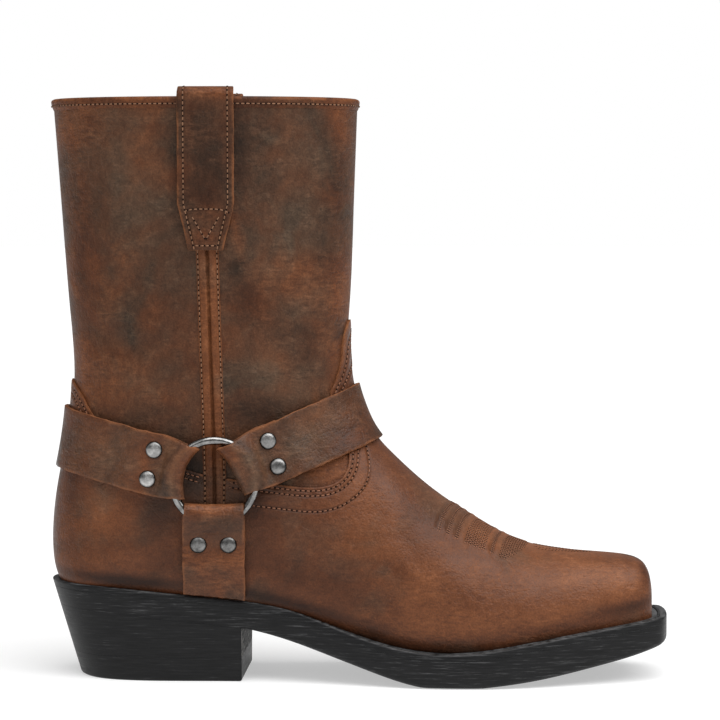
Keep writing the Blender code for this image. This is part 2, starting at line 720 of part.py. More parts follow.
def add_sole():
    def welt_low(x):
        return welt_top(x) - WELT_HEIGHT

    def outsole_top(x):
        return welt_low(x) - GAP

    def rim_top(x):
        return underside(x) + RIM_HEIGHT

    welt = [sole_level(0.0, welt_top), sole_level(0.0, welt_low)]
    welt += [sole_level(WELT_WIDTH, welt_low), sole_level(WELT_WIDTH, welt_top)]
    add_stack("welt", welt, "sole_rubber", closed=True)
    outsole = [sole_level(0.0, outsole_top), sole_level(0.0, rim_top)]
    outsole.append(sole_level(RIM_WIDTH, underside, heel_inset=0.0))
    add_stack("outsole", outsole, "sole_rubber")
    block = [heel_level(0.0, lambda x: underside(x) - GAP)]
    block.append(heel_level(0.0, lambda x: LIFT_HEIGHT + GAP))
    add_stack("heel_block", block, "heel_stack")
    lift = [heel_level(0.0, lambda x: LIFT_HEIGHT), heel_level(0.0, lambda x: HEEL_EDGE)]
    lift.append(heel_level(HEEL_EDGE, lambda x: 0.0))
    add_stack("heel_lift", lift, "sole_rubber")


def add_harness():
    straps = (("heel", HEEL_STRAP_ANGLE, 0.0), ("instep", INSTEP_STRAP_ANGLE, 1.0))
    for name, degrees, ends_at in straps:
        angle = math.radians(degrees)
        add_strap(f"{name}_strap", angle, ends_at)
        direction = (math.copysign(math.cos(angle), ends_at - 0.5), math.sin(angle))
        for side in (LATERAL, MEDIAL):
            add_rivets(name, side, direction, ends_at, STRAP_RISE)
    for side in (LATERAL, MEDIAL):
        add_under_strap(side)
        add_rivets("under", side, (0.0, -1.0), None, 0.0)
        add_ring(side)
        add_pull_strap(side)


for old in list(bpy.data.objects):
    bpy.data.objects.remove(old)
add_materials()
add_sole()
add_overlays(add_upper())
add_insole()
add_binding()
add_harness()
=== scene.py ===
import math

import bpy
import numpy as np
from mathutils import Matrix, Vector


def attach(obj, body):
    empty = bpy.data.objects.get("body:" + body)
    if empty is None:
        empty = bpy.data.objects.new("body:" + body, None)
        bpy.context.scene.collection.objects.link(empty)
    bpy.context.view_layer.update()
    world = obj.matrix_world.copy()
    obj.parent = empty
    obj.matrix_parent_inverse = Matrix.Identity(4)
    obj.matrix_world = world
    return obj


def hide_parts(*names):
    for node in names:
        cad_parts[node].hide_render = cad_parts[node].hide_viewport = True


# Looks of the harness boot. Tables are in millimetres from the back of the heel, as in the part's source.
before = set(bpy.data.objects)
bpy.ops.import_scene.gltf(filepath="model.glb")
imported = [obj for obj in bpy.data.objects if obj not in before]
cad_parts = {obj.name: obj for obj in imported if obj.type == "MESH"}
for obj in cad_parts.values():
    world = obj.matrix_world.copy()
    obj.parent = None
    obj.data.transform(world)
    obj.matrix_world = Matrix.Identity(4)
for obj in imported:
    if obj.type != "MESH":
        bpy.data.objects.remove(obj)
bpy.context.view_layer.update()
mm = 0.001
bpy.ops.object.select_all(action="DESELECT")
print("frame loaded:", len(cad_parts), "nodes")

boot = {
    "originX": 151.65, "gap": 0.3, "strapGap": 0.4, "wall": 2.0, "overlay": 1.2, "strap": 2.2,
    "binding": 0.8, "bindingDepth": 4.5, "collarZ": 283.4, "collarRow": 22, "ankleRow": 8, "instepRow": 9,
    "seamX": 81.5, "seamHalf": 5.5,
}
bothSides = ("lateral", "medial")  # the outer and the inner one
outOfReach = 30.0  # millimetres to an edge or a seam where none is near

# sections of the foot and the shaft, from the toe to the collar: low x, low z, high x, high z,
# half-width outside, half-width inside, widest place, power below, power above
lastSections = (
    (294.9, 27.5, 294.9, 45.5, 12.6, 20.6, 0.40, 5.0, 3.2),
    (293.4, 26.5, 293.4, 52.0, 16.0, 24.0, 0.36, 5.0, 3.0),
    (289.0, 25.5, 289.0, 56.2, 20.3, 28.3, 0.33, 5.0, 2.7),
    (280.0, 24.0, 280.0, 58.2, 24.7, 32.7, 0.31, 4.8, 2.5),
    (265.0, 21.5, 265.0, 59.4, 30.2, 37.6, 0.30, 4.6, 2.35),
    (245.0, 18.5, 245.0, 61.5, 37.0, 42.4, 0.29, 4.5, 2.2),
    (225.0, 15.0, 225.0, 67.2, 42.6, 44.4, 0.28, 4.5, 2.1),
    (205.0, 12.5, 205.0, 78.7, 45.3, 43.4, 0.28, 4.5, 2.05),
    (185.0, 12.5, 185.0, 92.7, 44.6, 39.5, 0.28, 4.5, 2.05),
    (166.0, 15.5, 168.6, 107.4, 41.8, 35.0, 0.30, 4.5, 2.1),
    (138.0, 24.5, 161.8, 114.5, 38.6, 33.4, 0.33, 4.5, 2.1),
    (105.0, 33.5, 157.3, 120.6, 36.6, 33.4, 0.37, 4.6, 2.1),
    (65.0, 38.0, 153.8, 127.2, 36.0, 34.2, 0.41, 4.8, 2.1),
    (28.0, 41.5, 151.0, 134.3, 36.0, 35.0, 0.44, 4.6, 2.1),
    (6.4, 46.0, 149.0, 140.5, 36.2, 35.6, 0.46, 3.1, 2.1),
    (0.8, 66.0, 147.5, 147.2, 36.6, 36.2, 0.48, 2.3, 2.1),
    (2.8, 92.0, 146.6, 156.0, 37.2, 36.9, 0.49, 2.1, 2.1),
    (7.6, 118.0, 146.2, 166.0, 37.9, 37.8, 0.50, 2.1, 2.1),
    (10.3, 150.0, 147.0, 180.0, 38.8, 38.8, 0.50, 2.1, 2.1),
    (8.1, 183.0, 148.2, 200.0, 39.6, 39.6, 0.50, 2.1, 2.1),
    (5.1, 222.0, 149.2, 230.0, 40.7, 40.7, 0.50, 2.1, 2.1),
    (2.6, 256.0, 150.2, 258.0, 41.7, 41.7, 0.50, 2.1, 2.1),
    (0.5, 283.4, 151.1, 283.4, 42.5, 42.5, 0.50, 2.1, 2.1),
)

# plan of the sole: x, half-width outside, half-width inside
solePlan = (
    (-1.2, 0.0, 0.0), (4.0, 17.0, 17.0), (11.0, 25.0, 25.0), (25.0, 32.0, 32.0), (45.0, 35.0, 35.0),
    (70.0, 35.0, 34.5), (100.0, 34.8, 32.0), (125.0, 37.0, 31.0), (150.0, 43.0, 34.0), (175.0, 49.5, 41.0),
    (195.0, 52.3, 48.0), (215.0, 51.8, 52.0), (235.0, 48.0, 51.7), (255.0, 41.5, 47.8), (275.0, 34.0, 42.0),
    (290.0, 27.5, 36.3), (298.0, 22.5, 31.5), (303.0, 14.5, 23.5), (304.5, -4.5, 4.5),
)

# side of the sole: x, top of the welt, underside
soleSide = (
    (-1.2, 47.6, 35.3), (30.0, 46.0, 33.4), (60.0, 43.2, 30.3), (96.0, 39.8, 26.2), (124.0, 34.2, 18.8),
    (140.0, 28.4, 13.3), (156.0, 22.9, 7.9), (170.0, 19.2, 3.4), (182.0, 17.3, 0.5), (198.0, 16.4, -0.9),
    (214.0, 17.6, 0.1), (240.0, 21.6, 3.2), (270.0, 26.4, 9.0), (290.0, 29.3, 13.7), (304.5, 31.4, 18.0),
)


def spline(knots, values):
    knots = np.asarray(knots, float)
    values = np.asarray(values, float)
    step = np.diff(knots)
    slope = np.diff(values, axis=0) / step[:, None]
    count = len(knots)
    system = np.eye(count)
    right = np.zeros_like(values)
    for i in range(1, count - 1):
        system[i, i - 1:i + 2] = step[i - 1], 2 * (step[i - 1] + step[i]), step[i]
        right[i] = 6 * (slope[i] - slope[i - 1])
    bend = np.linalg.solve(system, right)

    def read(at):
        at = np.asarray(at, float)
        i = np.clip(np.searchsorted(knots, at) - 1, 0, count - 2)
        h = step[i][..., None]
        a = (knots[i + 1] - at)[..., None] / h
        b = 1 - a
        curved = ((a**3 - a) * bend[i] + (b**3 - b) * bend[i + 1]) * h**2 / 6
        return a * values[i] + b * values[i + 1] + curved

    return read


planBack, planFront = solePlan[0][0], solePlan[-1][0]
planHalf = (planFront - planBack) / 2
sectionAt = spline(range(len(lastSections)), lastSections)
soleSideAt = spline([row[0] for row in soleSide], [row[1:] for row in soleSide])
planAt = spline(
    [math.acos(np.clip(1 - (row[0] - planBack) / planHalf, -1, 1)) for row in solePlan],
    [row[1:] for row in solePlan],
)


def weltTop(x):
    return soleSideAt(x)[..., 0]


def treadAt(x):
    return np.maximum(soleSideAt(x)[..., 1], 0.0)


def surfaceAt(turn, row):  # turn 0 low, 1 high by the outside, 2 low again by the inside
    turn, row = np.broadcast_arrays(np.asarray(turn, float), np.asarray(row, float))
    lowX, lowZ, highX, highZ, outside, inside, widest, below, above = np.moveaxis(sectionAt(row), -1, 0)
    up = -np.cos(math.pi * turn)
    across = np.sin(math.pi * turn)
    power = np.where(up > 0, above, below)
    reach = np.where(up > 0, 1 - widest, widest)
    share = widest + np.sign(up) * reach * np.abs(up) ** (2 / power)
    half = np.where(across > 0, outside, inside)
    y = -np.sign(across) * half * np.abs(across) ** (2 / power)
    return np.stack([lowX + (highX - lowX) * share, y, lowZ + (highZ - lowZ) * share], -1)


def unit(v):
    return v / np.maximum(np.linalg.norm(v, axis=-1, keepdims=True), 1e-9)


def normalAt(turn, row, step=2e-3):
    turn, row = np.broadcast_arrays(np.asarray(turn, float), np.asarray(row, float))
    around = surfaceAt(turn + step, row) - surfaceAt(turn - step, row)
    top = boot["collarRow"]
    along = surfaceAt(turn, np.minimum(row + step, top)) - surfaceAt(turn, np.maximum(row - step, 0.0))
    return unit(np.cross(around, along))


def lifted(turn, row, height):
    return surfaceAt(turn, row) + np.asarray(height, float)[..., None] * normalAt(turn, row)


def halved(excess, low, high, rounds=45):
    for _ in range(rounds):
        middle = (low + high) / 2
        over = excess(middle) > 0
        high = np.where(over, middle, high)
        low = np.where(over, low, middle)
    return (low + high) / 2


def locate(x, z):  # turn and row of the outer face's point seen from the side
    x, z = np.broadcast_arrays(np.asarray(x, float), np.asarray(z, float))

    def ahead(row):
        lowX, lowZ, highX, highZ = np.moveaxis(sectionAt(row), -1, 0)[:4]
        return (x - lowX) * (highZ - lowZ) - (z - lowZ) * (highX - lowX)

    row = halved(ahead, np.zeros(x.shape), np.full(x.shape, float(boot["collarRow"])))
    lowX, lowZ, highX, highZ, _, _, widest, below, above = np.moveaxis(sectionAt(row), -1, 0)
    span = (highX - lowX) ** 2 + (highZ - lowZ) ** 2
    share = np.clip(((x - lowX) * (highX - lowX) + (z - lowZ) * (highZ - lowZ)) / span, 0, 1)
    power = np.where(share > widest, above, below)
    reach = np.where(share > widest, 1 - widest, widest)
    up = np.sign(share - widest) * (np.abs(share - widest) / reach) ** (power / 2)
    return np.arccos(np.clip(-up, -1, 1)) / math.pi, row


def topSpot(x, y, samples=400):  # turn and row of a point on the fore part's top, from x and y
    x, y = np.broadcast_arrays(np.asarray(x, float), np.asarray(y, float))
    rows = np.linspace(0, boot["instepRow"], samples)
    row = np.interp(-x, -sectionAt(rows)[:, 2], rows)
    section = np.moveaxis(sectionAt(row), -1, 0)
    half = np.where(y < 0, section[4], section[5])
    across = np.clip(np.abs(y) / half, 0, 1) ** (section[8] / 2)
    lean = np.arcsin(across) / math.pi
    return np.where(y < 0, 1 - lean, 1 + lean), row


def sided(turn, side):
    return turn if side == "lateral" else 2 - turn


def tableAt(table, place):  # a value between the rows of a table of places and values
    places, values = np.transpose(table)
    return np.interp(place, places, values)


# mesh helpers
def onlySelect(piece):
    bpy.ops.object.select_all(action="DESELECT")
    piece.select_set(True)
    bpy.context.view_layer.objects.active = piece


def meshFrom(name, points, faces, finishes):
    mesh = bpy.data.meshes.new(name)
    places = (np.asarray(points, float).reshape(-1, 3) - (boot["originX"], 0, 0)) * mm
    mesh.from_pydata(places.tolist(), [], [tuple(int(i) for i in f) for f in faces])
    piece = bpy.data.objects.new(name, mesh)
    bpy.context.scene.collection.objects.link(piece)
    for finish in finishes:
        mesh.materials.append(finish)
    return piece


def applyModifier(piece, kind, **settings):
    onlySelect(piece)
    modifier = piece.modifiers.new(kind.title(), kind)
    for key, value in settings.items():
        setattr(modifier, key, value)
    bpy.ops.object.modifier_apply(modifier=modifier.name)


def thicken(piece, thickness, offset=-1.0, **finishes):
    applyModifier(piece, "SOLIDIFY", thickness=thickness * mm, offset=offset, use_even_offset=True,
                  **finishes)


def roundEdges(piece, width, degrees):
    applyModifier(piece, "BEVEL", width=width * mm, segments=2, limit_method="ANGLE",
                  angle_limit=math.radians(degrees))


def inEditMode(piece, *steps):  # operators with their settings, each run on the whole piece
    onlySelect(piece)
    bpy.ops.object.mode_set(mode="EDIT")
    for operator, settings in steps:
        bpy.ops.mesh.select_all(action="SELECT")
        operator(**settings)
    bpy.ops.object.mode_set(mode="OBJECT")


def meshClean(piece, merge, turnOut=True):  # merges points nearer than so many millimetres
    steps = [(bpy.ops.mesh.delete_loose, {}), (bpy.ops.mesh.remove_doubles, {"threshold": merge * mm})]
    if turnOut:
        steps.append((bpy.ops.mesh.normals_make_consistent, {"inside": False}))
    inEditMode(piece, *steps)


def smoothByAngle(piece, degrees):
    onlySelect(piece)
    bpy.ops.object.shade_smooth_by_angle(angle=math.radians(degrees))


def setField(piece, name, values):
    field = piece.data.attributes.get(name) or piece.data.attributes.new(name, "FLOAT", "POINT")
    field.data.foreach_set("value", np.asarray(values, np.float32).ravel())


def fieldOf(piece, name):
    return np.array([spot.value for spot in piece.data.attributes[name].data])


def placesOf(piece):  # vertices in the tables' millimetres
    co = np.empty(len(piece.data.vertices) * 3, np.float32)
    piece.data.vertices.foreach_get("co", co)
    return co.reshape(-1, 3) / mm + (boot["originX"], 0, 0)


def settle(piece, slot, *nodes):  # the piece rides on the boot, and stands for the nodes
    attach(piece, "root")
    if nodes:
        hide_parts(*nodes)
    return piece


def gridFaces(rows, columns):
    corner = np.arange(rows - 1)[:, None] * columns + np.arange(columns - 1)[None, :]
    return np.stack([corner, corner + 1, corner + columns + 1, corner + columns], -1).reshape(-1, 4)


def ringFaces(rows, columns, closed=False):  # loops of points that close on themselves
    i = np.arange(rows if closed else rows - 1)[:, None] * columns
    n = (i + columns) % (rows * columns)
    j = np.arange(columns)[None, :]
    k = (j + 1) % columns
    return np.stack([i + j, i + k, n + k, n + j], -1).reshape(-1, 4)


def gridNormals(points):
    return unit(np.cross(np.gradient(points, axis=1), np.gradient(points, axis=0)))


def smoothStep(value, low, high):
    t = np.clip((value - low) / (high - low), 0, 1)
    return t * t * (3 - 2 * t)


def evenRows(first, last, step, samples=1200):  # rows with no line between them longer than step
    rows = np.linspace(first, last, samples)
    lines = surfaceAt(np.linspace(0.0, 1.0, 9)[None, :], rows[:, None])
    run = np.concatenate([[0], np.cumsum(np.linalg.norm(np.diff(lines, axis=0), axis=-1).max(axis=1))])
    return np.interp(np.linspace(0, run[-1], max(2, int(run[-1] / step) + 2)), run, rows)


def bandRows(bands):  # rows of a grid whose bands have their own steps: first row, last row, step
    rows = [evenRows(*band) for band in bands]
    return np.concatenate(rows[:1] + [band[1:] for band in rows[1:]])


def evenTurns(rows, start, end, count, samples=1001):  # turns evenly apart along each row's line
    share = np.linspace(0, 1, samples)
    turns = start[:, None] + (end - start)[:, None] * share
    lines = surfaceAt(turns, rows[:, None])
    run = np.cumsum(np.linalg.norm(np.diff(lines, axis=1), axis=-1), axis=1)
    run = np.concatenate([np.zeros((len(rows), 1)), run], axis=1)
    wanted = np.linspace(0, 1, count + 1)
    return np.array([np.interp(wanted * r[-1], r, t) for r, t in zip(run, turns)])


def weltTurn(rows):  # turn where each row's line comes up out of the welt
    def above(turn):
        p = surfaceAt(turn, rows)
        return p[..., 2] - weltTop(p[..., 0]) - boot["gap"]
    return halved(above, np.zeros(rows.shape), np.full(rows.shape, 0.5))


def lineDistance(spots, line):  # distance from each spot to a polyline, both seen from the side
    best = np.full(len(spots), 1e9)
    for a, b in zip(line[:-1], line[1:]):
        d = b - a
        t = np.clip(((spots - a) @ d) / max(d @ d, 1e-9), 0, 1)
        best = np.minimum(best, np.linalg.norm(spots - a - t[:, None] * d, axis=1))
    return best


def insideDistance(spots, outline):  # the same to a closed outline, negative outside it
    loop = np.vstack([outline, outline[:1]])
    inside = np.zeros(len(spots), bool)
    for a, b in zip(loop[:-1], loop[1:]):
        crosses = (a[1] > spots[:, 1]) != (b[1] > spots[:, 1])
        rise = b[1] - a[1] if abs(b[1] - a[1]) > 1e-9 else 1e-9
        inside ^= crosses & (spots[:, 0] < a[0] + (spots[:, 1] - a[1]) / rise * (b[0] - a[0]))
    return lineDistance(spots, loop) * np.where(inside, 1, -1)


def runAlong(line):  # millimetres from a line's start to each of its points
    return np.concatenate([[0], np.cumsum(np.linalg.norm(np.diff(line, axis=0), axis=1))])


def pointsAt(places, run, points):  # the points so far along a line
    return np.stack([np.interp(places, run, points[:, k]) for k in range(3)], -1)


def smoothLine(rows, count):
    line = np.asarray(rows, float)
    run = runAlong(line)
    return spline(run, line)(np.linspace(0, run[-1], count))


def sideStep(line, distance):  # the line moved to its right, seen from the side
    ahead = unit(np.gradient(line, axis=0))
    return line + distance * np.stack([ahead[:, 1], -ahead[:, 0]], -1)


# soft spots and soft lines: x, z, half-length, half-height, lean, strength
def spotField(x, z, spots):
    total = np.zeros(x.shape)
    for sx, sz, length, height, lean, strength in spots:
        c, s = math.cos(math.radians(lean)), math.sin(math.radians(lean))
        u = ((x - sx) * c + (z - sz) * s) / length
        v = ((z - sz) * c - (x - sx) * s) / height
        total += strength * np.exp(-(u * u + v * v))
    return total


creaseEnds = (-0.15, 0.3)  # where a crease fades in at both ends, in shares of its length


def creaseField(x, z, creases):  # x0, z0, x1, z1, width, depth
    total = np.zeros(x.shape)
    for x0, z0, x1, z1, width, depth in creases:
        dx, dz = x1 - x0, z1 - z0
        t = ((x - x0) * dx + (z - z0) * dz) / (dx * dx + dz * dz)
        off = ((z - z0) * dx - (x - x0) * dz) / math.hypot(dx, dz)
        fade = smoothStep(t, *creaseEnds) * smoothStep(1 - t, *creaseEnds)
        total += depth * np.exp(-((off / width) ** 2)) * fade
    return total


# shader helpers
class Wire:  # a socket whose arithmetic adds Math nodes
    def __init__(self, finish, socket):
        self.finish, self.socket = finish, socket

    def maths(self, operation, *others):
        node = self.finish.add("ShaderNodeMath", {"operation": operation}, dict(enumerate((self, *others))))
        return Wire(self.finish, node.outputs[0])

    def __add__(self, other):
        return self.maths("ADD", other)

    __radd__ = __add__

    def __mul__(self, other):
        return self.maths("MULTIPLY", other)

    __rmul__ = __mul__

    def __sub__(self, other):
        return self.maths("SUBTRACT", other)

    def __rsub__(self, other):
        return self * -1 + other

    def clamp(self):
        return self.maths("MINIMUM", 1.0).maths("MAXIMUM", 0.0)

    def between(self, low, high):  # 0 below low, 1 above high, smooth between
        settings = {"interpolation_type": "SMOOTHSTEP"}
        node = self.finish.add("ShaderNodeMapRange", settings, {0: self, 1: low, 2: high})
        return Wire(self.finish, node.outputs[0])


class Finish:  # one material and the nodes it is made of
    def __init__(self, name, **constants):
        self.material = bpy.data.materials.new(name)
        self.material.use_nodes = True
        self.tree = self.material.node_tree
        self.shader = self.tree.nodes["Principled BSDF"]
        for key, value in constants.items():
            self.shader.inputs[key].default_value = value
        self.coords = self.wire("ShaderNodeTexCoord", {}, {}, "Object")

    def add(self, kind, settings, inputs):
        node = self.tree.nodes.new(kind)
        for key, value in settings.items():
            if key == "stops":
                self.setStops(node.color_ramp, value)
            else:
                setattr(node, key, value)
        for key, value in inputs.items():
            if isinstance(value, Wire):
                self.tree.links.new(value.socket, node.inputs[key])
            else:
                node.inputs[key].default_value = value
        return node

    def setStops(self, ramp, stops):
        while len(ramp.elements) > 1:
            ramp.elements.remove(ramp.elements[-1])
        for i, (place, colour) in enumerate(stops):
            element = ramp.elements[0] if i == 0 else ramp.elements.new(place)
            element.position = place
            element.color = (*colour, 1)

    def wire(self, kind, settings, inputs, output=0):
        return Wire(self, self.add(kind, settings, inputs).outputs[output])

    def field(self, name):
        return self.wire("ShaderNodeAttribute", {"attribute_name": name}, {}, "Fac")

    def noise(self, sizeMm, detail=3.0, rough=0.55, warp=0.0, stretch=None):
        place = self.coords
        if stretch:
            place = self.wire("ShaderNodeMapping", {}, {"Vector": place, "Scale": stretch})
        inputs = {"Vector": place, "Scale": 1000 / sizeMm, "Detail": detail, "Roughness": rough}
        return self.wire("ShaderNodeTexNoise", {}, {**inputs, "Distortion": warp})

    def cells(self, sizeMm, feature="F1", wander=None):
        place = self.coords
        if wander:  # noise that bends the cells
            moved = (wander - 0.5) * (sizeMm * mm * 1.6)
            shift = self.wire("ShaderNodeCombineXYZ", {}, {0: moved, 1: moved, 2: moved * -1})
            place = self.wire("ShaderNodeVectorMath", {"operation": "ADD"}, {0: place, 1: shift})
        inputs = {"Vector": place, "Scale": 1000 / sizeMm}
        return self.wire("ShaderNodeTexVoronoi", {"feature": feature}, inputs, "Distance")

    def ramp(self, value, stops):
        return self.wire("ShaderNodeValToRGB", {"stops": stops}, {0: value})

    def mix(self, factor, a, b, blend="MIX"):
        colours = {i: c if isinstance(c, Wire) else (*c, 1) for i, c in ((6, a), (7, b))}
        settings = {"data_type": "RGBA", "blend_type": blend}
        return self.wire("ShaderNodeMix", settings, {0: factor, **colours}, 2)

    def bump(self, height, depthMm):
        return self.wire("ShaderNodeBump", {}, {"Height": height, "Distance": depthMm * mm}, "Normal")

    def use(self, **links):
        for key, value in links.items():
            self.tree.links.new(value.socket, self.shader.inputs[key.replace("_", " ")])
        return self.material


def blend(shares, **wires):  # the wires added up, each times its share
    return sum(wires[name] * share for name, share in shares.items())


rustTones = ((0.0, (0.026, 0.0088, 0.0040)), (0.3, (0.060, 0.0202, 0.0085)), (0.5, (0.098, 0.0328, 0.0132)),
             (0.75, (0.160, 0.0555, 0.0212)), (1.0, (0.265, 0.100, 0.041)))
nickelTones = ((0.0, (0.014, 0.013, 0.012)), (0.35, (0.13, 0.128, 0.125)), (0.7, (0.33, 0.325, 0.318)),
               (1.0, (0.66, 0.65, 0.63)))
greyTones = ((0.0, (0.012, 0.0076, 0.0048)), (0.3, (0.036, 0.0222, 0.0140)), (0.5, (0.063, 0.0385, 0.0240)),
             (0.75, (0.104, 0.0635, 0.0395)), (1.0, (0.160, 0.102, 0.065)))
rawTones = ((0.0, (0.070, 0.024, 0.010)), (0.5, (0.215, 0.078, 0.030)), (1.0, (0.36, 0.155, 0.068)))
liningTones = ((0.0, (0.115, 0.062, 0.034)), (0.5, (0.205, 0.122, 0.070)), (1.0, (0.30, 0.19, 0.115)))
tanTones = ((0.0, (0.118, 0.055, 0.029)), (1.0, (0.33, 0.172, 0.094)))
brownTones = ((0.0, (0.110, 0.045, 0.023)), (1.0, (0.340, 0.150, 0.082)))
blackTones = ((0.0, (0.012, 0.012, 0.012)), (1.0, (0.045, 0.045, 0.045)))
# dark beads at the stitches' ends: painted shade of the needle holes
pinholeShadeTones = ((0.3, (0.006, 0.003, 0.002)), (0.8, (0.018, 0.009, 0.006)))
rubberTones = ((0.0, (0.003, 0.003, 0.0033)), (0.5, (0.010, 0.010, 0.0105)), (1.0, (0.090, 0.090, 0.092)))
breastTones = ((0.0, (0.006, 0.006, 0.006)), (0.5, (0.055, 0.054, 0.051)), (1.0, (0.30, 0.29, 0.275)))
wornEdgeColour = (0.235, 0.084, 0.030)
# painted shade for grooves along rows of stitches and the toe's valleys
seamShadeColour = (0.018, 0.008, 0.004)

leatherLook = {  # noises: millimetres, detail, roughness, warp, stretch
    "clouds": (38, 3, 0.5, 0.8), "patches": (12, 4, 0.6, 0.6), "fibres": (2.4, 4, 0.65, 0.3),
    "wrinkles": (1.7, 3, 0.6, 0.6, (0.3, 0.3, 1.0)), "grain": (0.8, 2, 0.6), "veinBend": (11, 3, 0.6),
    "veinSize": 9, "veinWidth": (0.0, 0.06), "veinClouds": (0.45, 0.62),
    "poreSize": 1.5, "poreWidth": (0.0, 0.55), "speckle": 1.1,
    "creasedPatches": (0.45, 0.65), "creasedRust": (0.2, 0.8),
    "wornReach": (0.1, 1.5),  # millimetres to the piece's cut edge
    "wornPatches": (0.4, 0.62), "worn": 0.6,
    "sunkReach": (0.0, 1.3),  # millimetres to the nearest row of stitches
    # the first sets how strongly painted shade darkens the leather near rows of stitches
    "sunk": 0.3, "depth": 0.14, "mottleDepth": 0.26,
    "mottleShares": {"patches": 0.5, "fibres": 0.55, "wrinkles": 0.9},
    "toneShares": {"clouds": -0.6, "rust": 0.13, "pale": 0.26, "dark": -0.3, "veins": 0.06},
    "greyShares": {"clouds": 2.4, "patches": 0.9, "rust": -0.62, "dark": 0.06, "pale": 0.1},
    "heightShares": {"grain": 0.3, "pores": 0.35, "fibres": 0.45, "wrinkles": 1.0, "patches": 0.5,
                     "veins": -0.3, "sunk": -1.5},
    "roughShares": {"patches": 0.4, "grain": 0.3, "dark": 0.05},
}


# grey is the share of grey in it, level its brightness, stretch the run of its fibres
def oiledLeather(name, grey, level, stretch, rough=0.5, gloss=0.13, mottle=1.0):
    look = leatherLook
    leather = Finish(name, **{"Specular IOR Level": gloss})
    clouds, patches = leather.noise(*look["clouds"]), leather.noise(*look["patches"])
    fibres, wrinkles = leather.noise(*look["fibres"], stretch), leather.noise(*look["wrinkles"])
    grain = leather.noise(*look["grain"])
    # the marks' fields: rust, darker leather and paler leather, with painted highlight and painted shade
    # among them
    marks = {mark: leather.field(mark) for mark in ("rust", "dark", "pale")}
    creased = patches.between(*look["creasedPatches"]) + marks["rust"].between(*look["creasedRust"])
    creased = creased.clamp()  # finely wrinkled places
    veins = leather.cells(look["veinSize"], "DISTANCE_TO_EDGE", leather.noise(*look["veinBend"]))
    veins = 1 - veins.between(*look["veinWidth"])  # fine cracks in the oiled surface
    veins = veins * clouds.between(*look["veinClouds"])
    spread = {"clouds": clouds - 0.5, "patches": patches - 0.5, **marks, "veins": veins}
    wrinkled = (wrinkles - 0.5) * creased
    mottled = blend(look["mottleShares"], fibres=fibres - 0.5, wrinkles=wrinkled, **spread)
    tone = (mottled * mottle + blend(look["toneShares"], **spread) + level).clamp()
    greyShare = (blend(look["greyShares"], **spread) + grey).clamp()
    colour = leather.mix(greyShare, leather.ramp(tone, rustTones), leather.ramp(tone, greyTones))
    speckle = (grain - 0.5) * look["speckle"] + 1.0
    speckled = leather.wire("ShaderNodeCombineXYZ", {}, {0: speckle, 1: speckle, 2: speckle})
    colour = leather.mix(1.0, colour, speckled, "MULTIPLY")
    worn = 1 - leather.field("edge").between(*look["wornReach"])
    worn = worn * patches.between(*look["wornPatches"]) * look["worn"]
    colour = leather.mix(worn, colour, wornEdgeColour)
    # painted shade along the rows of stitches, the seams' grooves and the toe's valleys; the same mask sinks
    # the relief below
    sunk = 1 - leather.field("seam").between(*look["sunkReach"])
    colour = leather.mix(sunk * look["sunk"], colour, seamShadeColour)
    pores = leather.cells(look["poreSize"]).between(*look["poreWidth"])
    height = blend(look["heightShares"], grain=grain, pores=pores, fibres=fibres,
                   wrinkles=wrinkles * creased, patches=patches, veins=veins, sunk=sunk)
    relief = leather.bump(height, look["depth"] + look["mottleDepth"] * mottle)
    roughness = blend(look["roughShares"], grain=grain - 0.5, **spread) + rough
    return leather.use(Base_Color=colour, Roughness=roughness, Normal=relief)


# finishes of a fine and a broad noise, which share the tone and the relief
plainLooks = {
    "rawEdge": {"gloss": 0.2, "fine": (0.7, 3, 0.7), "broad": (6, 3, 0.6), "fineShare": 0.55, "contrast": 2.4,
                "level": 0.5, "rough": 0.7, "roughSpread": 0.2, "reliefShare": 1.0, "depth": 0.35},
    "lining": {"gloss": 0.25, "fine": (0.9, 3, 0.65), "broad": (40, 3), "fineShare": 0.4, "contrast": 1.8,
               "level": 0.5, "rough": 0.68, "roughSpread": 0.2, "reliefShare": 1.0, "depth": 0.12},
    "thread": {"gloss": 0.3, "fine": (0.5, 2, 0.6), "broad": (9, 2, 0.6), "fineShare": 0.4, "contrast": 2.2,
               "level": 0.5, "rough": 0.6, "roughSpread": 0.2, "reliefShare": 1.0, "depth": 0.1},
    "breast": {"gloss": 0.25, "fine": (2.6, 4, 0.7, 0.6), "broad": (1.6, 3, 0.6, 0.3, (0.15, 0.15, 1.0)),
               "fineShare": 0.65, "contrast": 4.2, "level": 0.46, "rough": 0.55, "roughSpread": 0.3,
               "reliefShare": 0.6, "depth": 0.5},
}


def plainFinish(name, kind, tones):
    look = plainLooks[kind]
    finish = Finish(name, **{"Specular IOR Level": look["gloss"]})
    fine, broad = finish.noise(*look["fine"]), finish.noise(*look["broad"])
    tone, relief = [fine * look[share] + broad * (1 - look[share]) for share in ("fineShare", "reliefShare")]
    tone = (tone - 0.5) * look["contrast"] + look["level"]
    roughness = fine * look["roughSpread"] + look["rough"]
    return finish.use(Base_Color=finish.ramp(tone.clamp(), tones), Roughness=roughness,
                      Normal=finish.bump(relief, look["depth"]))


# a dark bead at each stitch's end, painted shade of the needle hole
def pinholeShadeFinish():
    hole = Finish("pinhole", **{"Specular IOR Level": 0.1})
    dust = hole.noise(0.8, 2)
    return hole.use(Base_Color=hole.ramp(dust, pinholeShadeTones), Roughness=dust * 0.1 + 0.8)


nickelLook = {
    "clouds": (3.0, 4, 0.65), "scratches": (0.6, 2, 0.6, 0.0, (1, 1, 0.2)), "depth": 0.06,
    "toneShares": {"clouds": 1.1, "tarnish": -0.8}, "roughShares": {"clouds": 0.25, "scratches": 0.1},
    "heightShares": {"clouds": 0.7, "scratches": 0.3},
}


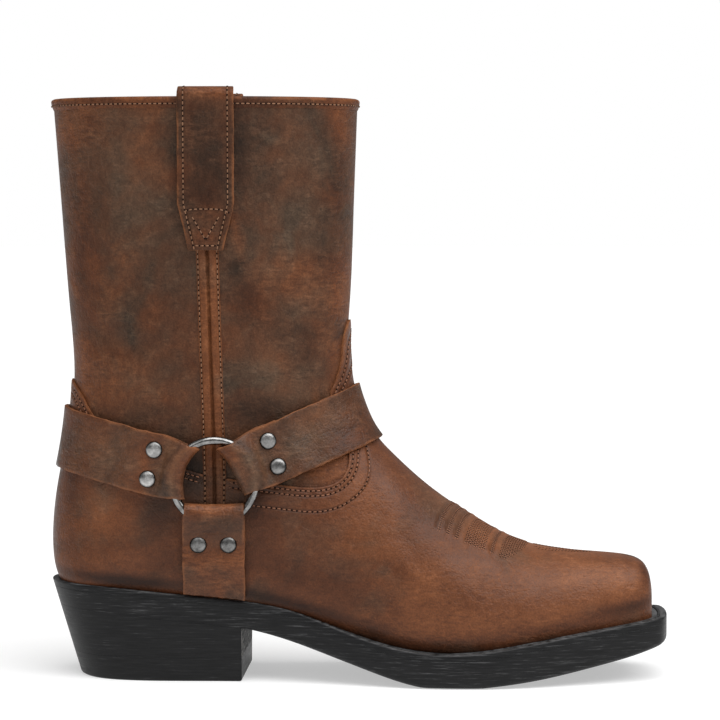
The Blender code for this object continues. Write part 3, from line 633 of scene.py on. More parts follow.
def antiqueNickel(name, level, rough):
    look = nickelLook
    nickel = Finish(name, Metallic=1.0)
    noises = {key: nickel.noise(*look[key]) for key in ("clouds", "scratches")}
    spread = {key: noise - 0.5 for key, noise in noises.items()}
    tone = blend(look["toneShares"], tarnish=nickel.field("tarnish"), **spread) + level
    relief = nickel.bump(blend(look["heightShares"], **noises), look["depth"])
    return nickel.use(Base_Color=nickel.ramp(tone.clamp(), nickelTones), Normal=relief,
                      Roughness=blend(look["roughShares"], **spread) + rough)


rubberLook = {
    "streaks": (0.8, 4, 0.75, 0.15, (0.05, 0.05, 1.0)),  # buffing lines along the edge
    "grains": (1.0, 3, 0.6), "scuffs": (9, 4, 0.7, 0.8, (0.3, 0.3, 1.0)), "scuffed": (0.58, 0.75),
    "edgeReach": (0.0, 0.8), "gloss": 0.22, "level": 0.24, "rough": 0.46, "depth": 0.16,
    "toneShares": {"streaks": 2.5, "scuffs": 0.22, "edge": 0.5},
    "roughShares": {"streaks": 0.5, "scuffs": 0.15}, "heightShares": {"streaks": 0.7, "grains": 0.3},
}


def soleRubber(name, lift):
    look = rubberLook
    rubber = Finish(name, **{"Specular IOR Level": look["gloss"]})
    streaks, grains = rubber.noise(*look["streaks"]), rubber.noise(*look["grains"])
    worn = {"streaks": streaks - 0.5, "scuffs": rubber.noise(*look["scuffs"]).between(*look["scuffed"])}
    # lighter at the welt's top rim: wear and painted highlight
    edge = 1 - rubber.field("edge").between(*look["edgeReach"])
    tone = blend(look["toneShares"], edge=edge, **worn) + (look["level"] + lift)
    relief = rubber.bump(blend(look["heightShares"], streaks=streaks, grains=grains), look["depth"])
    return rubber.use(Base_Color=rubber.ramp(tone.clamp(), rubberTones), Normal=relief,
                      Roughness=blend(look["roughShares"], **worn) + look["rough"])


# share of grey, brightness, run of the fibres, roughness, gloss, mottle
shaftLeather = oiledLeather("shaftLeather", 0.54, 0.5, (1, 1, 0.7), 0.48, 0.14, 0.85)
vampLeather = oiledLeather("vampLeather", 0.1, 0.53, (0.8, 1, 1), 0.44, 0.2, 0.55)
strapLeather = oiledLeather("strapLeather", 0.42, 0.49, (0.5, 1, 1), 0.42, 0.2, 0.95)
pullLeather = oiledLeather("pullStrapLeather", 0.42, 0.39, (1, 1, 0.6))
bindingLeather = oiledLeather("bindingLeather", 0.1, 0.48, (1, 1, 1))
seamLeather = oiledLeather("seamLeather", -0.1, 0.72, (1, 1, 0.5))
rawEdge = plainFinish("rawEdge", "rawEdge", rawTones)
lining = plainFinish("lining", "lining", liningTones)
tanThread = plainFinish("tanThread", "thread", tanTones)
brownThread = plainFinish("brownThread", "thread", brownTones)
blackThread = plainFinish("blackThread", "thread", blackTones)
pinhole = pinholeShadeFinish()
ringNickel = antiqueNickel("ringNickel", 0.6, 0.19)
rivetNickel = antiqueNickel("rivetNickel", 0.86, 0.3)
rubber = soleRubber("soleRubber", 0.09)
heelRubber = soleRubber("heelRubber", -0.04)
breast = plainFinish("heelBreast", "breast", breastTones)
print("finishes made")

# colour of the leather by place: rust where the oil has moved out, dark where it sits; painted highlight and
# painted shade are among these marks
leatherMarks = {
    # paler leather, and painted highlight where light falls on the instep's top, the toe and the counter
    "pale": (
        (196, 84, 14, 8, -38, 0.9), (214, 73, 14, 7, -28, 1.0), (234, 63, 14, 6, -18, 0.8),
        (258, 57, 16, 6, -6, 0.4), (270, 50, 22, 12, 0, 0.25), (282, 54, 10, 9, -20, 0.3),
        (28, 83, 10, 12, 0, 0.6), (124, 254, 14, 12, 0, 0.25), (45, 240, 13, 24, 0, 0.45),
        (126, 214, 16, 16, 0, 0.25), (118, 226, 7, 12, 0, 0.35), (126, 184, 9, 8, 0, 0.35),
        (112, 151, 14, 8, -18, 0.75), (42, 145, 6, 5, 0, 0.3), (160, 72, 13, 16, -20, 0.55),
        (170, 46, 9, 7, 0, 0.35), (206, 32, 22, 8, 0, 0.35), (252, 36, 18, 6, 6, 0.4),
        (280, 43, 11, 6, 8, 0.5), (160, 94, 14, 9, -30, 0.3), (20, 279, 18, 5, 0, 0.5),
        (30, 260, 9, 12, 0, 0.25), (95, 102, 4, 10, 0, 0.3), (28, 91, 9, 9, 0, 0.35),
        (50, 240, 6, 10, 0, 0.2), (124, 140, 12, 4, -10, 0.4), (186, 48, 5, 8, 0, 0.25),
        (240, 50, 20, 6, 0, 0.2), (262, 63, 26, 3, -4, 0.6), (76, 206, 6, 8, 0, 0.2),
    ),
    # rust-coloured leather; the spots on the counter also make painted highlight
    "rust": (
        (18, 236, 7, 44, 6, 0.55), (14, 268, 16, 9, 0, 0.7), (54, 252, 6, 12, -18, 0.3),
        (95, 215, 3.0, 14, 12, 0.95), (104, 190, 7, 5, 0, 0.15), (127, 198, 22, 10, 8, 0.75),
        (138, 172, 12, 24, 0, 0.6), (142, 245, 5, 42, 0, 0.6), (118, 246, 9, 8, 30, 0.25),
        (44, 157, 22, 11, 10, 0.2), (28, 150, 14, 20, 0, 0.4), (96, 170, 12, 18, 0, 0.2),
        (98, 140, 14, 8, 0, 0.2), (118, 150, 12, 9, -20, 0.5), (126, 186, 14, 6, 0, 0.35),
        (132, 232, 8, 10, 0, 0.3), (30, 256, 8, 14, 0, 0.35), (32, 232, 9, 8, 0, 0.35),
        (88, 204, 5, 12, 0, 0.45), (20, 279, 16, 6, 0, 0.7), (24, 60, 14, 6, 0, 0.3),
        (44, 60, 12, 5, 4, 0.4), (28, 80, 9, 10, 0, 0.4), (10, 80, 5, 13, 0, 0.6),
        (70, 52, 26, 6, 0, 0.3), (160, 108, 16, 14, -40, 0.45), (142, 88, 26, 8, 8, 0.3),
        (168, 90, 15, 12, -30, 0.55), (148, 64, 22, 8, 0, 0.45), (128, 74, 10, 6, 20, 0.4),
        (175, 66, 3, 12, 18, 0.4), (194, 55, 24, 9, 6, 0.6), (220, 52, 10, 7, 0, 0.6),
        (185, 44, 14, 7, 0, 0.45), (198, 28, 28, 9, 2, 0.95), (216, 42, 34, 7, 4, 0.35),
        (252, 30, 28, 5, 6, 0.9), (262, 46, 26, 11, 0, 0.4), (284, 54, 9, 7, -30, 0.55),
        (150, 46, 26, 10, 0, 0.1), (236, 34, 30, 4, 8, 0.3), (139, 106, 11, 9, 0, 0.9),
        (272, 56, 22, 5, 0, 0.3), (292, 46, 5, 9, 0, 0.6), (94, 102, 5, 12, 0, 0.5),
        (143, 190, 5, 16, 0, 0.5), (136, 206, 8, 5, 0, 0.3), (17, 156, 4, 16, 0, 0.5),
        (12, 240, 4, 22, 0, 0.3), (98, 217, 3.5, 10, 14, 0.5), (8, 74, 7, 9, 0, 0.5),
        (160, 32, 12, 8, 10, 0.6), (188, 36, 22, 9, 0, 0.35), (216, 52, 16, 6, 0, 0.35),
        (262, 50, 14, 6, 0, 0.3), (292, 58, 5, 6, 0, 0.4), (48, 264, 8, 9, 0, -0.5),
        (36, 198, 12, 8, 0, -0.45), (53, 168, 8, 14, 0, -0.4), (34, 90, 14, 10, 0, -0.4),
        (40, 70, 16, 7, 0, -0.4), (56, 52, 10, 6, 0, -0.3), (180, 66, 12, 9, 0, -0.35),
        (160, 76, 8, 8, 0, -0.3), (132, 152, 6, 8, 0, -0.4), (115, 232, 5, 14, 30, -0.35),
        (114, 199, 6, 5, 0, -0.4), (286, 34, 10, 3, 8, -0.4),
    ),
    # darker leather, and painted shade: the pull straps' shadow beside them, shade inside the rings and a
    # dark line along the welt joint
    "dark": (
        (96, 260, 4.2, 26, 0, 0.8), (66, 246, 2.6, 26, 0, 0.4), (58, 270, 9, 9, 0, 0.35),
        (108, 268, 12, 9, 0, 0.3), (142, 250, 5, 26, 0, 0.5), (17, 214, 4.5, 28, 0, 0.55),
        (25, 196, 9, 34, 0, 0.45), (94, 202, 4, 5, 0, 0.95), (101, 188, 7, 9, 0, 0.7),
        (106, 178, 18, 9, -14, 0.45), (112, 240, 14, 18, 0, 0.3), (138, 206, 9, 7, 0, 0.5),
        (125, 172, 8, 4, 0, 0.3), (58, 228, 10, 30, 20, 0.1), (62, 188, 20, 12, 0, 0.35),
        (52, 170, 9, 12, 0, 0.4), (70, 164, 9, 18, 0, 0.35), (92, 160, 8, 6, 0, 0.4),
        (143, 166, 6, 9, 0, 0.45), (101, 132, 15, 7, 0, 0.85), (62, 131, 18, 7, 0, 0.4),
        (38, 128, 22, 6, -10, 0.2), (57, 80, 10, 18, 10, 0.6), (56, 55, 14, 8, 0, 0.65),
        (11, 84, 3, 20, 0, 0.3), (12, 106, 4, 14, 0, 0.4), (182, 84, 22, 7, -38, 0.45),
        (168, 60, 10, 5, -10, 0.2), (107, 80, 8, 15, 0, 0.8), (112, 58, 18, 10, -10, 0.6),
        (140, 45, 22, 8, -10, 0.6), (128, 92, 12, 7, 20, 0.4), (205, 68, 18, 5, -26, 0.2),
        (294, 54, 4, 10, 0, 0.6), (246, 42, 9, 4, 0, 0.2), (38, 49.5, 34, 3.0, -5, 2.0),
        (118, 39.5, 28, 3.4, -13, 2.0), (160, 27, 24, 3.0, -16, 0.6), (200, 21, 30, 2.5, 0, 0.5),
        (240, 27, 30, 2.5, 6, 0.6), (285, 37, 18, 3, 10, 1.2), (294, 52, 4, 12, 0, 0.5),
        (73, 104, 7, 13, 0, 1.3), (84, 100, 5, 13, 0, 0.5), (138, 232, 7, 26, 0, 0.35),
        (17, 206, 5, 20, 0, 0.3), (96, 250, 3.5, 18, 0, 0.3), (64, 250, 3, 10, 0, 0.35),
        (92, 188, 10, 5, 0, 0.35), (128, 160, 8, 12, -30, 0.45), (100, 135, 14, 6, 0, 0.4),
        (160, 106, 8, 8, -40, 0.6), (104, 86, 6, 8, 0, 0.5), (97, 58, 3, 14, 0, 0.6),
        (12, 98, 4, 14, 0, 0.4), (125, 52, 14, 8, 0, 0.3), (148, 52, 10, 8, 0, 0.3),
        (40, 66, 10, 4, 0, 0.3), (225, 31, 8, 5, 0, 0.4), (240, 36, 6, 4, 0, 0.3),
    ),
}
strapMarks = {
    # paler leather, and painted highlight on the straps' folds at the rings
    "pale": (
        (34, 110, 22, 8, -10, 0.5), (34, 118, 16, 7, -10, 0.25), (130, 121, 9, 14, 24, 0.5),
        (134, 130, 16, 6, 24, 0.25), (80, 286, 16, 4, 0, 0.8), (80, 87, 22, 3.5, 0, 0.7),
        (104, 106, 4, 9, 0, 0.45), (60, 110, 3, 9, -15, 0.4), (82, 62, 12, 5, 0, 0.15),
        (80, 216, 10, 6, 0, 0.4), (105, 104, 4, 9, 0, 0.4), (62, 112, 4, 8, 0, 0.4),
    ),
    "rust": (
        (92, 52, 18, 14, 0, 0.6), (75, 60, 6, 14, 0, 0.4), (54, 108, 8, 6, 0, 0.15),
        (112, 112, 10, 9, 0, 0.1), (24, 120, 18, 5, -10, 0.25), (150, 130, 12, 10, 0, 0.35),
        (80, 287, 15, 3.5, 0, 0.9), (72, 270, 3, 8, 0, 0.5), (80, 218, 8, 7, 0, 0.65),
        (90, 262, 2.5, 16, 0, 0.4), (80, 86, 22, 4, 0, 0.8), (152, 124, 8, 8, 0, 0.4),
        (92, 82, 8, 6, 0, 0.3), (42, 112, 8, 12, 0, -0.5), (122, 112, 8, 9, 0, -0.5),
        (140, 104, 9, 6, 20, -0.45), (78, 240, 9, 12, 0, -0.3),
    ),
    "dark": (
        (152, 116, 13, 9, 0, 0.75), (144, 104, 10, 6, 24, 0.4), (112, 120, 5, 5, 0, 0.3),
        (80, 76, 12, 5, 0, 0.2), (82, 246, 10, 18, 0, 0.7), (72, 236, 6, 7, 0, 0.4),
        (76, 268, 8, 8, 0, 0.3), (12, 120, 6, 11, 0, 0.35), (147, 107, 5, 5, 0, 0.5),
    ),
}
twinShift = {"markX": 7.0, "markZ": -5.0, "shaftCrease": 6.0, "vampCrease": 5.0}  # millimetres


def innerShift(places, name):  # the inner side isn't an exact twin
    return np.where(places[..., 1] > 0, twinShift[name], 0.0)


def paintMarks(piece, edge=outOfReach, seam=outOfReach, marks=leatherMarks):
    places = placesOf(piece)
    x = places[:, 0] + innerShift(places, "markX")
    z = places[:, 2] + innerShift(places, "markZ")
    for mark, spots in marks.items():
        setField(piece, mark, spotField(x, z, spots))
    for name, distance in (("edge", edge), ("seam", seam)):
        setField(piece, name, np.broadcast_to(np.ravel(distance), len(places)))


# outlines seen from the side, the same as the solids' own
vampEdge = smoothLine((
    (87.3, 100.0), (115.7, 96.4), (130.4, 95.1), (138.3, 95.9), (144.2, 98.8), (147.4, 104.3), (147.6, 111.5),
    (144.0, 125.0), (138.0, 138.0), (141.2, 148.0), (143.2, 157.0), (144.2, 167.0), (146.6, 176.0)), 90)
counterEdge = smoothLine((
    (78.4, 101.6), (48.0, 112.0), (30.0, 122.5), (22.4, 130.6), (16.4, 139.6), (10.0, 146.5)), 50)
vampThirdRow = smoothLine((
    (96.0, 87.4), (108.9, 85.8), (120.8, 84.4), (134.0, 83.6), (141.4, 85.0), (151.6, 90.6), (156.6, 97.0),
    (157.5, 104.0), (155.5, 113.0)), 60)
farOff = 60.0  # past every end of the boot


def closedOutline(edge, farX):  # an edge closed round the foot by corners outside the boot
    return np.vstack([[(edge[0, 0], -farOff)], edge, [(farX, edge[-1, 1])], [(farX, -farOff)]])


vampOutline = closedOutline(vampEdge, planFront + farOff)
counterOutline = closedOutline(counterEdge, -farOff)

# shaft and foot: one hollow skin, lined inside
upperLook = {
    "columns": 96, "capRings": 5, "capBulge": 0.6, "merge": 0.02, "smooth": 50,
    "bands": ((0, 9, 4.0), (9, 14, 3.0), (14, 22, 1.6)),  # first row, last row, step
    "creasesFrom": (118, 140), "creasesTo": (236, 262), "seamClear": (7, 16),  # where creases fade
    "creases": (  # x0, z0, x1, z1, width, depth
        (18, 172, 66, 160, 5.0, -0.55), (14, 160, 58, 146, 4.0, 0.45), (98, 158, 140, 176, 5.0, -0.5),
        (100, 148, 136, 160, 4.5, 0.45), (92, 186, 142, 196, 6.0, -0.4), (20, 196, 64, 188, 6.0, -0.35),
        (112, 214, 146, 208, 7.0, 0.35), (12, 226, 40, 214, 6.0, 0.3), (40, 138, 70, 130, 3.5, -0.4),
    ),
}


def footGrid(rows, columns):  # turns from the welt outside over the top to the welt inside
    low, top = weltTurn(rows), np.ones(rows.shape)
    outer = evenTurns(rows, low, top, columns)
    inner = evenTurns(rows, 2 - low, top, columns)
    return np.concatenate([outer[:, :-1], inner[:, ::-1]], axis=1)


def withCap(points, look):  # the toe closed by rings from its first section in to its foot, and the normals
    first = points[0]
    foot = (first[0] + first[-1]) / 2
    shares = np.linspace(0, 1, look["capRings"] + 1)[:-1]
    rings = []
    for share in shares:
        ring = foot + (first - foot) * share
        ring[:, 0] += look["capBulge"] * (1 - share**2)
        rings.append(ring)
    whole = np.concatenate([rings, points])
    normals = gridNormals(whole)
    for i, share in enumerate(shares):
        normals[i] = unit(share**2 * normals[len(shares) + 1] + (1 - share**2) * np.array((1.0, 0, 0)))
    return whole, normals


def buildUpper():
    look = upperLook
    rows = bandRows(look["bands"])
    whole, normals = withCap(surfaceAt(footGrid(rows, look["columns"]), rows[:, None]), look)
    x, z = whole[..., 0], whole[..., 2]
    shift = innerShift(whole, "shaftCrease")
    lowest, highest = look["creasesTo"]
    keep = smoothStep(z, *look["creasesFrom"]) * smoothStep(-z, -highest, -lowest)
    clear = smoothStep(np.abs(x - boot["seamX"]), *look["seamClear"])
    rise = creaseField(x + shift, z + shift, look["creases"]) * keep * clear
    whole = whole + rise[..., None] * normals
    upper = meshFrom("bootUpper", whole, gridFaces(*whole.shape[:2]), (shaftLeather, lining))
    meshClean(upper, look["merge"])
    thicken(upper, boot["wall"], material_offset=1)
    paintMarks(upper)
    smoothByAngle(upper, look["smooth"])
    return settle(upper, "shaft_leather", "upper")


upper = buildUpper()
print("upper:", len(upper.data.polygons), "faces")


# pieces cut from the skin along an outline: points near it move onto it, faces past it are left out
def trimGrid(turns, rows, distance):
    turn, row, d = turns.copy(), rows.copy(), distance.copy()
    best = np.full(d.shape, 2.0)
    for axis in (0, 1):
        a = (slice(None, -1), slice(None)) if axis == 0 else (slice(None), slice(None, -1))
        b = (slice(1, None), slice(None)) if axis == 0 else (slice(None), slice(1, None))
        crossing = distance[a] * distance[b] < 0
        t = np.where(crossing, distance[a] / np.where(crossing, distance[a] - distance[b], 1.0), 0.0)
        for near, share, place in ((a, t, crossing & (t <= 0.5)), (b, 1 - t, crossing & (t > 0.5))):
            better = place & (share < best[near])
            best[near] = np.where(better, share, best[near])
            turn[near] = np.where(better, turns[a] + t * (turns[b] - turns[a]), turn[near])
            row[near] = np.where(better, rows[a] + t * (rows[b] - rows[a]), row[near])
    d[best <= 0.5] = 0.0
    faces = []
    for quad in gridFaces(*d.shape):
        values = d.ravel()[quad]
        if (values >= 0).all():
            if (values > 0).any():
                faces.append(tuple(quad))
        elif (values > 0).any():
            k = int(np.argmax(values))
            if values[k - 1] == 0 and values[(k + 1) % 4] == 0:
                faces.append((quad[k - 1], quad[k], quad[(k + 1) % 4]))
    return turn, row, d, faces


overlayLook = {
    "stitchRows": (1.7, 4.1), "edgeRoll": 0.4, "rollWidth": 0.9, "threadLift": 0.1,
    "merge": 0.01, "smooth": 50,
}


def overlayPiece(name, points, faces, edge, seam, node):  # leather on the skin, with raw cut edges
    piece = meshFrom(name, points, faces, (vampLeather, rawEdge))
    setField(piece, "edge", edge)
    setField(piece, "seam", seam)
    meshClean(piece, overlayLook["merge"])
    paintMarks(piece, fieldOf(piece, "edge"), fieldOf(piece, "seam"))
    thicken(piece, boot["overlay"], material_offset_rim=1)
    smoothByAngle(piece, overlayLook["smooth"])
    return settle(piece, "vamp_leather", node)


vampLook = {
    "columns": 84, "capRings": 7, "capBulge": 0.6, "capSpot": (250.0, 40.0),  # a spot far from any seam
    "seamsFrom": 90.0, "valleySink": 0.6,
    "bands": ((0, 5, 1.35), (5, 8.4, 0.95), (8.4, 18, 1.35)),  # first row, last row, step
    "creases": (  # x0, z0, x1, z1, width, depth
        (150, 92, 186, 62, 6.0, -0.35), (166, 96, 196, 72, 5.0, 0.3), (172, 80, 190, 40, 5.0, -0.45),
        (188, 70, 206, 42, 5.0, 0.35), (140, 62, 172, 44, 7.0, 0.3), (206, 58, 222, 40, 6.0, -0.3),
        (108, 74, 140, 62, 6.0, 0.25), (150, 112, 166, 92, 4.0, 0.25),
    ),
}
toeStitching = {
    "ridges": (200.5, 204.35, 208.25, 219.9, 223.7), "ridgeWidth": 1.25, "height": 0.72,
    "valleys": (198.6, 202.4, 206.3, 221.8), "pairGap": 0.4, "endGap": 1.5, "fade": 4.0, "lowestZ": 45.0,
    "slants": ((198.0, 7.8), (232.0, 4.2)), "slantAhead": 6.0, "slantBehind": 3.0,
    "clusterHeight": 0.25, "clusters": (  # first x, last x, half-width, rows, taper
        (210.2, 218.4, 30.8, 9, 0.04), (225.6, 235.0, 29.5, 10, 0.5)),
    "halfWidths": ((190.0, 33.6), (205.0, 32.6), (225.0, 30.0), (236.0, 27.5)), "samples": 90, "stagger": 0.5,
    "petals": (1.0, 0.6), "petalEnds": (239.0, 266.0), "petalEndsIn": (3.0, 8.0),  # an outer and an inner one
    "petalHalf": 9.0, "petalFrom": 0.55, "petalSamples": 40,
    "valleyThread": {"pitch": 1.5, "length": 1.15, "thick": 0.27, "hole": 0.4},
    "clusterThread": {"pitch": 1.5, "length": 1.05, "thick": 0.27, "hole": 0.36, "zigzag": 0.35},
    "petalThread": {"pitch": 1.7, "length": 1.3, "thick": 0.25, "hole": 0.3},
}


def toeAlong(points):  # x of the same ridge at the top, and how far in from the ridge's end
    look = toeStitching
    x, y = points[..., 0], points[..., 1]
    half = tableAt(look["halfWidths"], x)
    return x + tableAt(look["slants"], x + look["slantAhead"]) * np.abs(y) / half, half - np.abs(y)


def toeSunk(points):  # millimetres to the nearest valley between ridges
    look = toeStitching
    along, inside = toeAlong(points)
    nearest = np.min([np.abs(along - v) for v in look["valleys"]], axis=0)
    return np.where((inside > look["endGap"]) & (points[..., 2] > look["lowestZ"]), nearest, outOfReach)


def toeRelief(points):
    look = toeStitching
    along, inside = toeAlong(points)
    height = np.zeros(along.shape)
    for ridge in look["ridges"]:
        height += np.exp(-(((along - ridge) / look["ridgeWidth"]) ** 2)) * look["height"]
    for first, last, _, _, _ in look["clusters"]:
        middle, reach = (first + last) / 2, (last - first) / 2 + 1
        height += look["clusterHeight"] * np.exp(-(((along - middle) / reach) ** 4))
    return height * smoothStep(inside, 0.0, look["fade"]) * (points[..., 2] > look["lowestZ"])


def overlayRise(edge):  # height of an overlay, rolled down at its cut edge
    look = overlayLook
    return boot["gap"] + boot["overlay"] - look["edgeRoll"] * smoothStep(-edge, -look["rollWidth"], 0.0)


def rowDistance(edge):  # millimetres to the nearest row of stitches along a cut edge
    return np.minimum.reduce([np.abs(edge - row) for row in overlayLook["stitchRows"]])


def buildVamp():
    look = vampLook
    rows = bandRows(look["bands"])
    turns = footGrid(rows, look["columns"])
    rowGrid = np.broadcast_to(rows[:, None], turns.shape).copy()
    seen = surfaceAt(turns, rowGrid)[..., ::2]
    distance = insideDistance(seen.reshape(-1, 2), vampOutline).reshape(turns.shape)
    turns, rowGrid, distance, faces = trimGrid(turns, rowGrid, distance)
    base = surfaceAt(turns, rowGrid)
    whole, normals = withCap(base, look)
    count, columns = look["capRings"], turns.shape[1]
    capped = np.concatenate([np.full((count, columns), outOfReach), distance])
    creased = creaseField(whole[..., 0] + innerShift(whole, "vampCrease"), whole[..., 2], look["creases"])
    whole = whole + (overlayRise(capped) + creased + toeRelief(whole))[..., None] * normals
    faces = [tuple(i + count * columns for i in f) for f in faces]
    faces += [tuple(f) for f in gridFaces(count + 1, columns)]
    spots = np.concatenate([np.full((count, columns, 2), look["capSpot"]), base[..., ::2]]).reshape(-1, 2)
    edge = lineDistance(spots, vampEdge)
    seam = np.minimum(rowDistance(edge), lineDistance(spots, vampThirdRow))
    seam = np.where(spots[:, 0] < look["seamsFrom"], outOfReach, seam)
    # the toe's valleys take the same painted shade and sunken relief as rows of stitches
    seam = np.minimum(seam, toeSunk(whole).ravel() * look["valleySink"])
    return overlayPiece("vampSkin", whole, faces, edge, seam, "vamp")


counterLook = {"columns": 92, "rows": (10.6, 18.2), "step": 1.4, "lastTurn": 0.68}


def buildCounter():
    look = counterLook
    rows = evenRows(*look["rows"], look["step"])
    back, ends = np.zeros(rows.shape), np.full(rows.shape, look["lastTurn"])
    outer = evenTurns(rows, back, ends, look["columns"])
    inner = evenTurns(rows, back, -ends, look["columns"])
    turns = np.concatenate([inner[:, :0:-1], outer], axis=1)
    rowGrid = np.broadcast_to(rows[:, None], turns.shape).copy()
    seen = surfaceAt(turns, rowGrid)[..., ::2].reshape(-1, 2)
    foot = seen[:, 1] - weltTop(seen[:, 0]) - boot["gap"]
    distance = np.minimum(insideDistance(seen, counterOutline), foot).reshape(turns.shape)
    turns, rowGrid, _, faces = trimGrid(turns, rowGrid, distance)
    base = surfaceAt(turns, rowGrid)
    edge = lineDistance(base[..., ::2].reshape(-1, 2), counterEdge)
    points = base + overlayRise(edge.reshape(turns.shape))[..., None] * gridNormals(base)
    return overlayPiece("counterSkin", points, faces, edge, rowDistance(edge), "counter")


vamp = buildVamp()
counter = buildCounter()
print("vamp:", len(vamp.data.polygons), "counter:", len(counter.data.polygons), "faces")

# side seams: two pressed lips with a groove between them, drawn as a dark line by painted shade
seamLook = {
    "step": 1.5, "columns": 30, "base": 0.28, "height": 1.35, "lipGroove": 0.75, "grooveDepth": 1.0,
    "thickness": 0.9, "pressed": 0.85, "lap": (101.5, 105.5),  # where it comes off the vamp and the counter
    "line": ((40.0, 83.4), (101.7, 83.3), (130.6, 82.6), (209.0, 80.4), (281.0, 79.9)),  # z, x
    "footZ": 45.0, "topZ": 278.6, "stitchAt": 4.6, "stitchFoot": 2.0, "stitchTop": 277.0,
    "stitchHeight": 0.85, "stitchLap": 0.95, "stitchSamples": 160, "grooveFade": 1.1, "stitchSink": 0.4,
    "merge": 0.01, "smooth": 60,
}


def seamX(z):
    return tableAt(seamLook["line"], z)


def seamOver(z):  # 1 low down, where the strip lies on the vamp and the counter
    return 1 - smoothStep(z, *seamLook["lap"])


def buildSideSeam(side):
    look = seamLook
    foot = weltTop(seamX(look["footZ"])) + boot["gap"]
    z = np.linspace(foot, look["topZ"], int((look["topZ"] - foot) / look["step"]))
    offsets = boot["seamHalf"] * np.sin(np.linspace(-math.pi / 2, math.pi / 2, look["columns"] + 1))
    x = seamX(z)[:, None] + offsets[None, :]
    turn, row = locate(x, np.broadcast_to(z[:, None], x.shape))
    lip = 1 - (np.abs(offsets) / boot["seamHalf"]) ** 3
    over = seamOver(z)[:, None]
    height = look["base"] + look["height"] * lip * (1 - look["pressed"] * over) + boot["overlay"] * over
    height = height - look["grooveDepth"] * np.exp(-((offsets / look["lipGroove"]) ** 2))
    points = lifted(sided(turn, side), row, height)
    seam = meshFrom("sideSeam" + side.title(), points, gridFaces(*x.shape), (seamLeather,))
    spread = np.broadcast_to(np.abs(offsets), x.shape).ravel()
    meshClean(seam, look["merge"])
    sewn = np.abs(spread - look["stitchAt"]) + look["stitchSink"]
    # the groove between the lips and the rows of stitches take painted shade
    paintMarks(seam, seam=np.minimum(spread * look["grooveFade"], sewn))
    thicken(seam, look["thickness"])
    smoothByAngle(seam, look["smooth"])
    return settle(seam, "shaft_leather", "side_seam_" + side)


for side in bothSides:
    buildSideSeam(side)

# harness: three straps on each side, folded round a ring and riveted
harness = {
    "ringX": 83.2, "ringZ": 98.9, "ringRadius": 20.0, "wireRadius": 2.0, "strapWidth": 30.0, "foldGap": 0.9,
    "angles": {"heel": 13.1, "instep": 22.5}, "rise": 1.3, "rivetAt": 30.6, "rivetSpread": 7.3,
    "folds": {  # width, reach from the ring's middle, the same at the lower and upper edge, where it lands
        "heel": (26.0, 14.7, (11.9, 10.0), (25.0, 0.0)), "instep": (26.0, 10.1, (10.9, 6.6), (25.0, 0.0)),
        "under": (28.6, 10.8, (10.3, 10.3), (25.5, 1.5)),
    },
    "tailEnd": 38.0, "flatPastTail": 3.0, "settled": 48.0, "pastWire": 1.0, "near": 4.0, "samples": 240,
    "lineStart": 0.12, "across": 14, "alongStep": 1.7, "edgeRound": 0.4, "restSteps": 9,
}
seat = boot["gap"] + boot["overlay"] + boot["strapGap"]
lowerLayer = seat + boot["strap"] / 2
upperLayer = lowerLayer + boot["strap"] + boot["gap"]
wireCentre = seat + boot["strap"] + harness["foldGap"] + harness["wireRadius"]
foldRadius = harness["wireRadius"] + boot["gap"] + boot["strap"] / 2


def strapRun(strap):  # direction seen from the side, turn where it ends, rise over the ring's middle
    if strap == "under":
        return (0.0, -1.0), None, 0.0
    angle = math.radians(harness["angles"][strap])
    ahead, endsAt = (-1.0, 0.0) if strap == "heel" else (1.0, 1.0)
    return (ahead * math.cos(angle), math.sin(angle)), endsAt, harness["rise"]


class RingSeat:  # where a ring lies
    def __init__(self, side):
        turn, row = locate(harness["ringX"], harness["ringZ"])
        turn = sided(turn, side)
        self.out = normalAt(turn, row)
        self.centre = surfaceAt(turn, row) + self.out * wireCentre
        toe = np.array((1.0, 0.0, 0.0))
        self.toe = unit(toe - self.out * toe.dot(self.out))
        self.up = np.cross(self.out, self.toe)
        self.up *= math.copysign(1.0, self.up[2])

    def point(self, x, z):
        return self.centre + x * self.toe + z * self.up


class StrapLine:  # one line along a strap, so far across from its middle
    def __init__(self, side, direction, across, endsAt):
        self.ahead = np.array(direction)
        self.left = np.array((-self.ahead[1], self.ahead[0])) * math.copysign(1.0, self.ahead[0] or 1.0)
        self.across = across
        centre = np.array((harness["ringX"], harness["ringZ"]))
        if endsAt is None:
            t = np.linspace(-harness["near"], harness["ringZ"], harness["samples"])
            seen = centre + t[:, None] * self.ahead + across * self.left
            turn, row = locate(seen[:, 0], seen[:, 1])
            edge = lifted(turn, row, np.full(turn.shape, lowerLayer + boot["strap"] / 2))
            keep = edge[:, 2] > weltTop(seen[:, 0]) + 2 * boot["gap"]
            turn, row = turn[keep], row[keep]
        else:
            start = 0.5 + harness["lineStart"] * (1 - 2 * endsAt)
            turn = np.linspace(start, endsAt, harness["samples"])

            def above(row):
                return (surfaceAt(turn, row)[:, ::2] - centre) @ self.left - across

            low = np.full(turn.shape, float(boot["ankleRow"]))
            row = halved(above, low, np.full(turn.shape, float(boot["collarRow"])))
        self.turn, self.row = sided(turn, side), row
        self.base, self.out = surfaceAt(self.turn, row), normalAt(self.turn, row)
        t = (self.base[:, ::2] - centre) @ self.ahead
        run = runAlong(self.base)
        self.run = run - np.interp(0.0, t, run)
        self.end = self.run[-1]

    def at(self, run, height):
        out = pointsAt(run, self.run, self.out)
        return pointsAt(run, self.run, self.base) + height * unit(out)


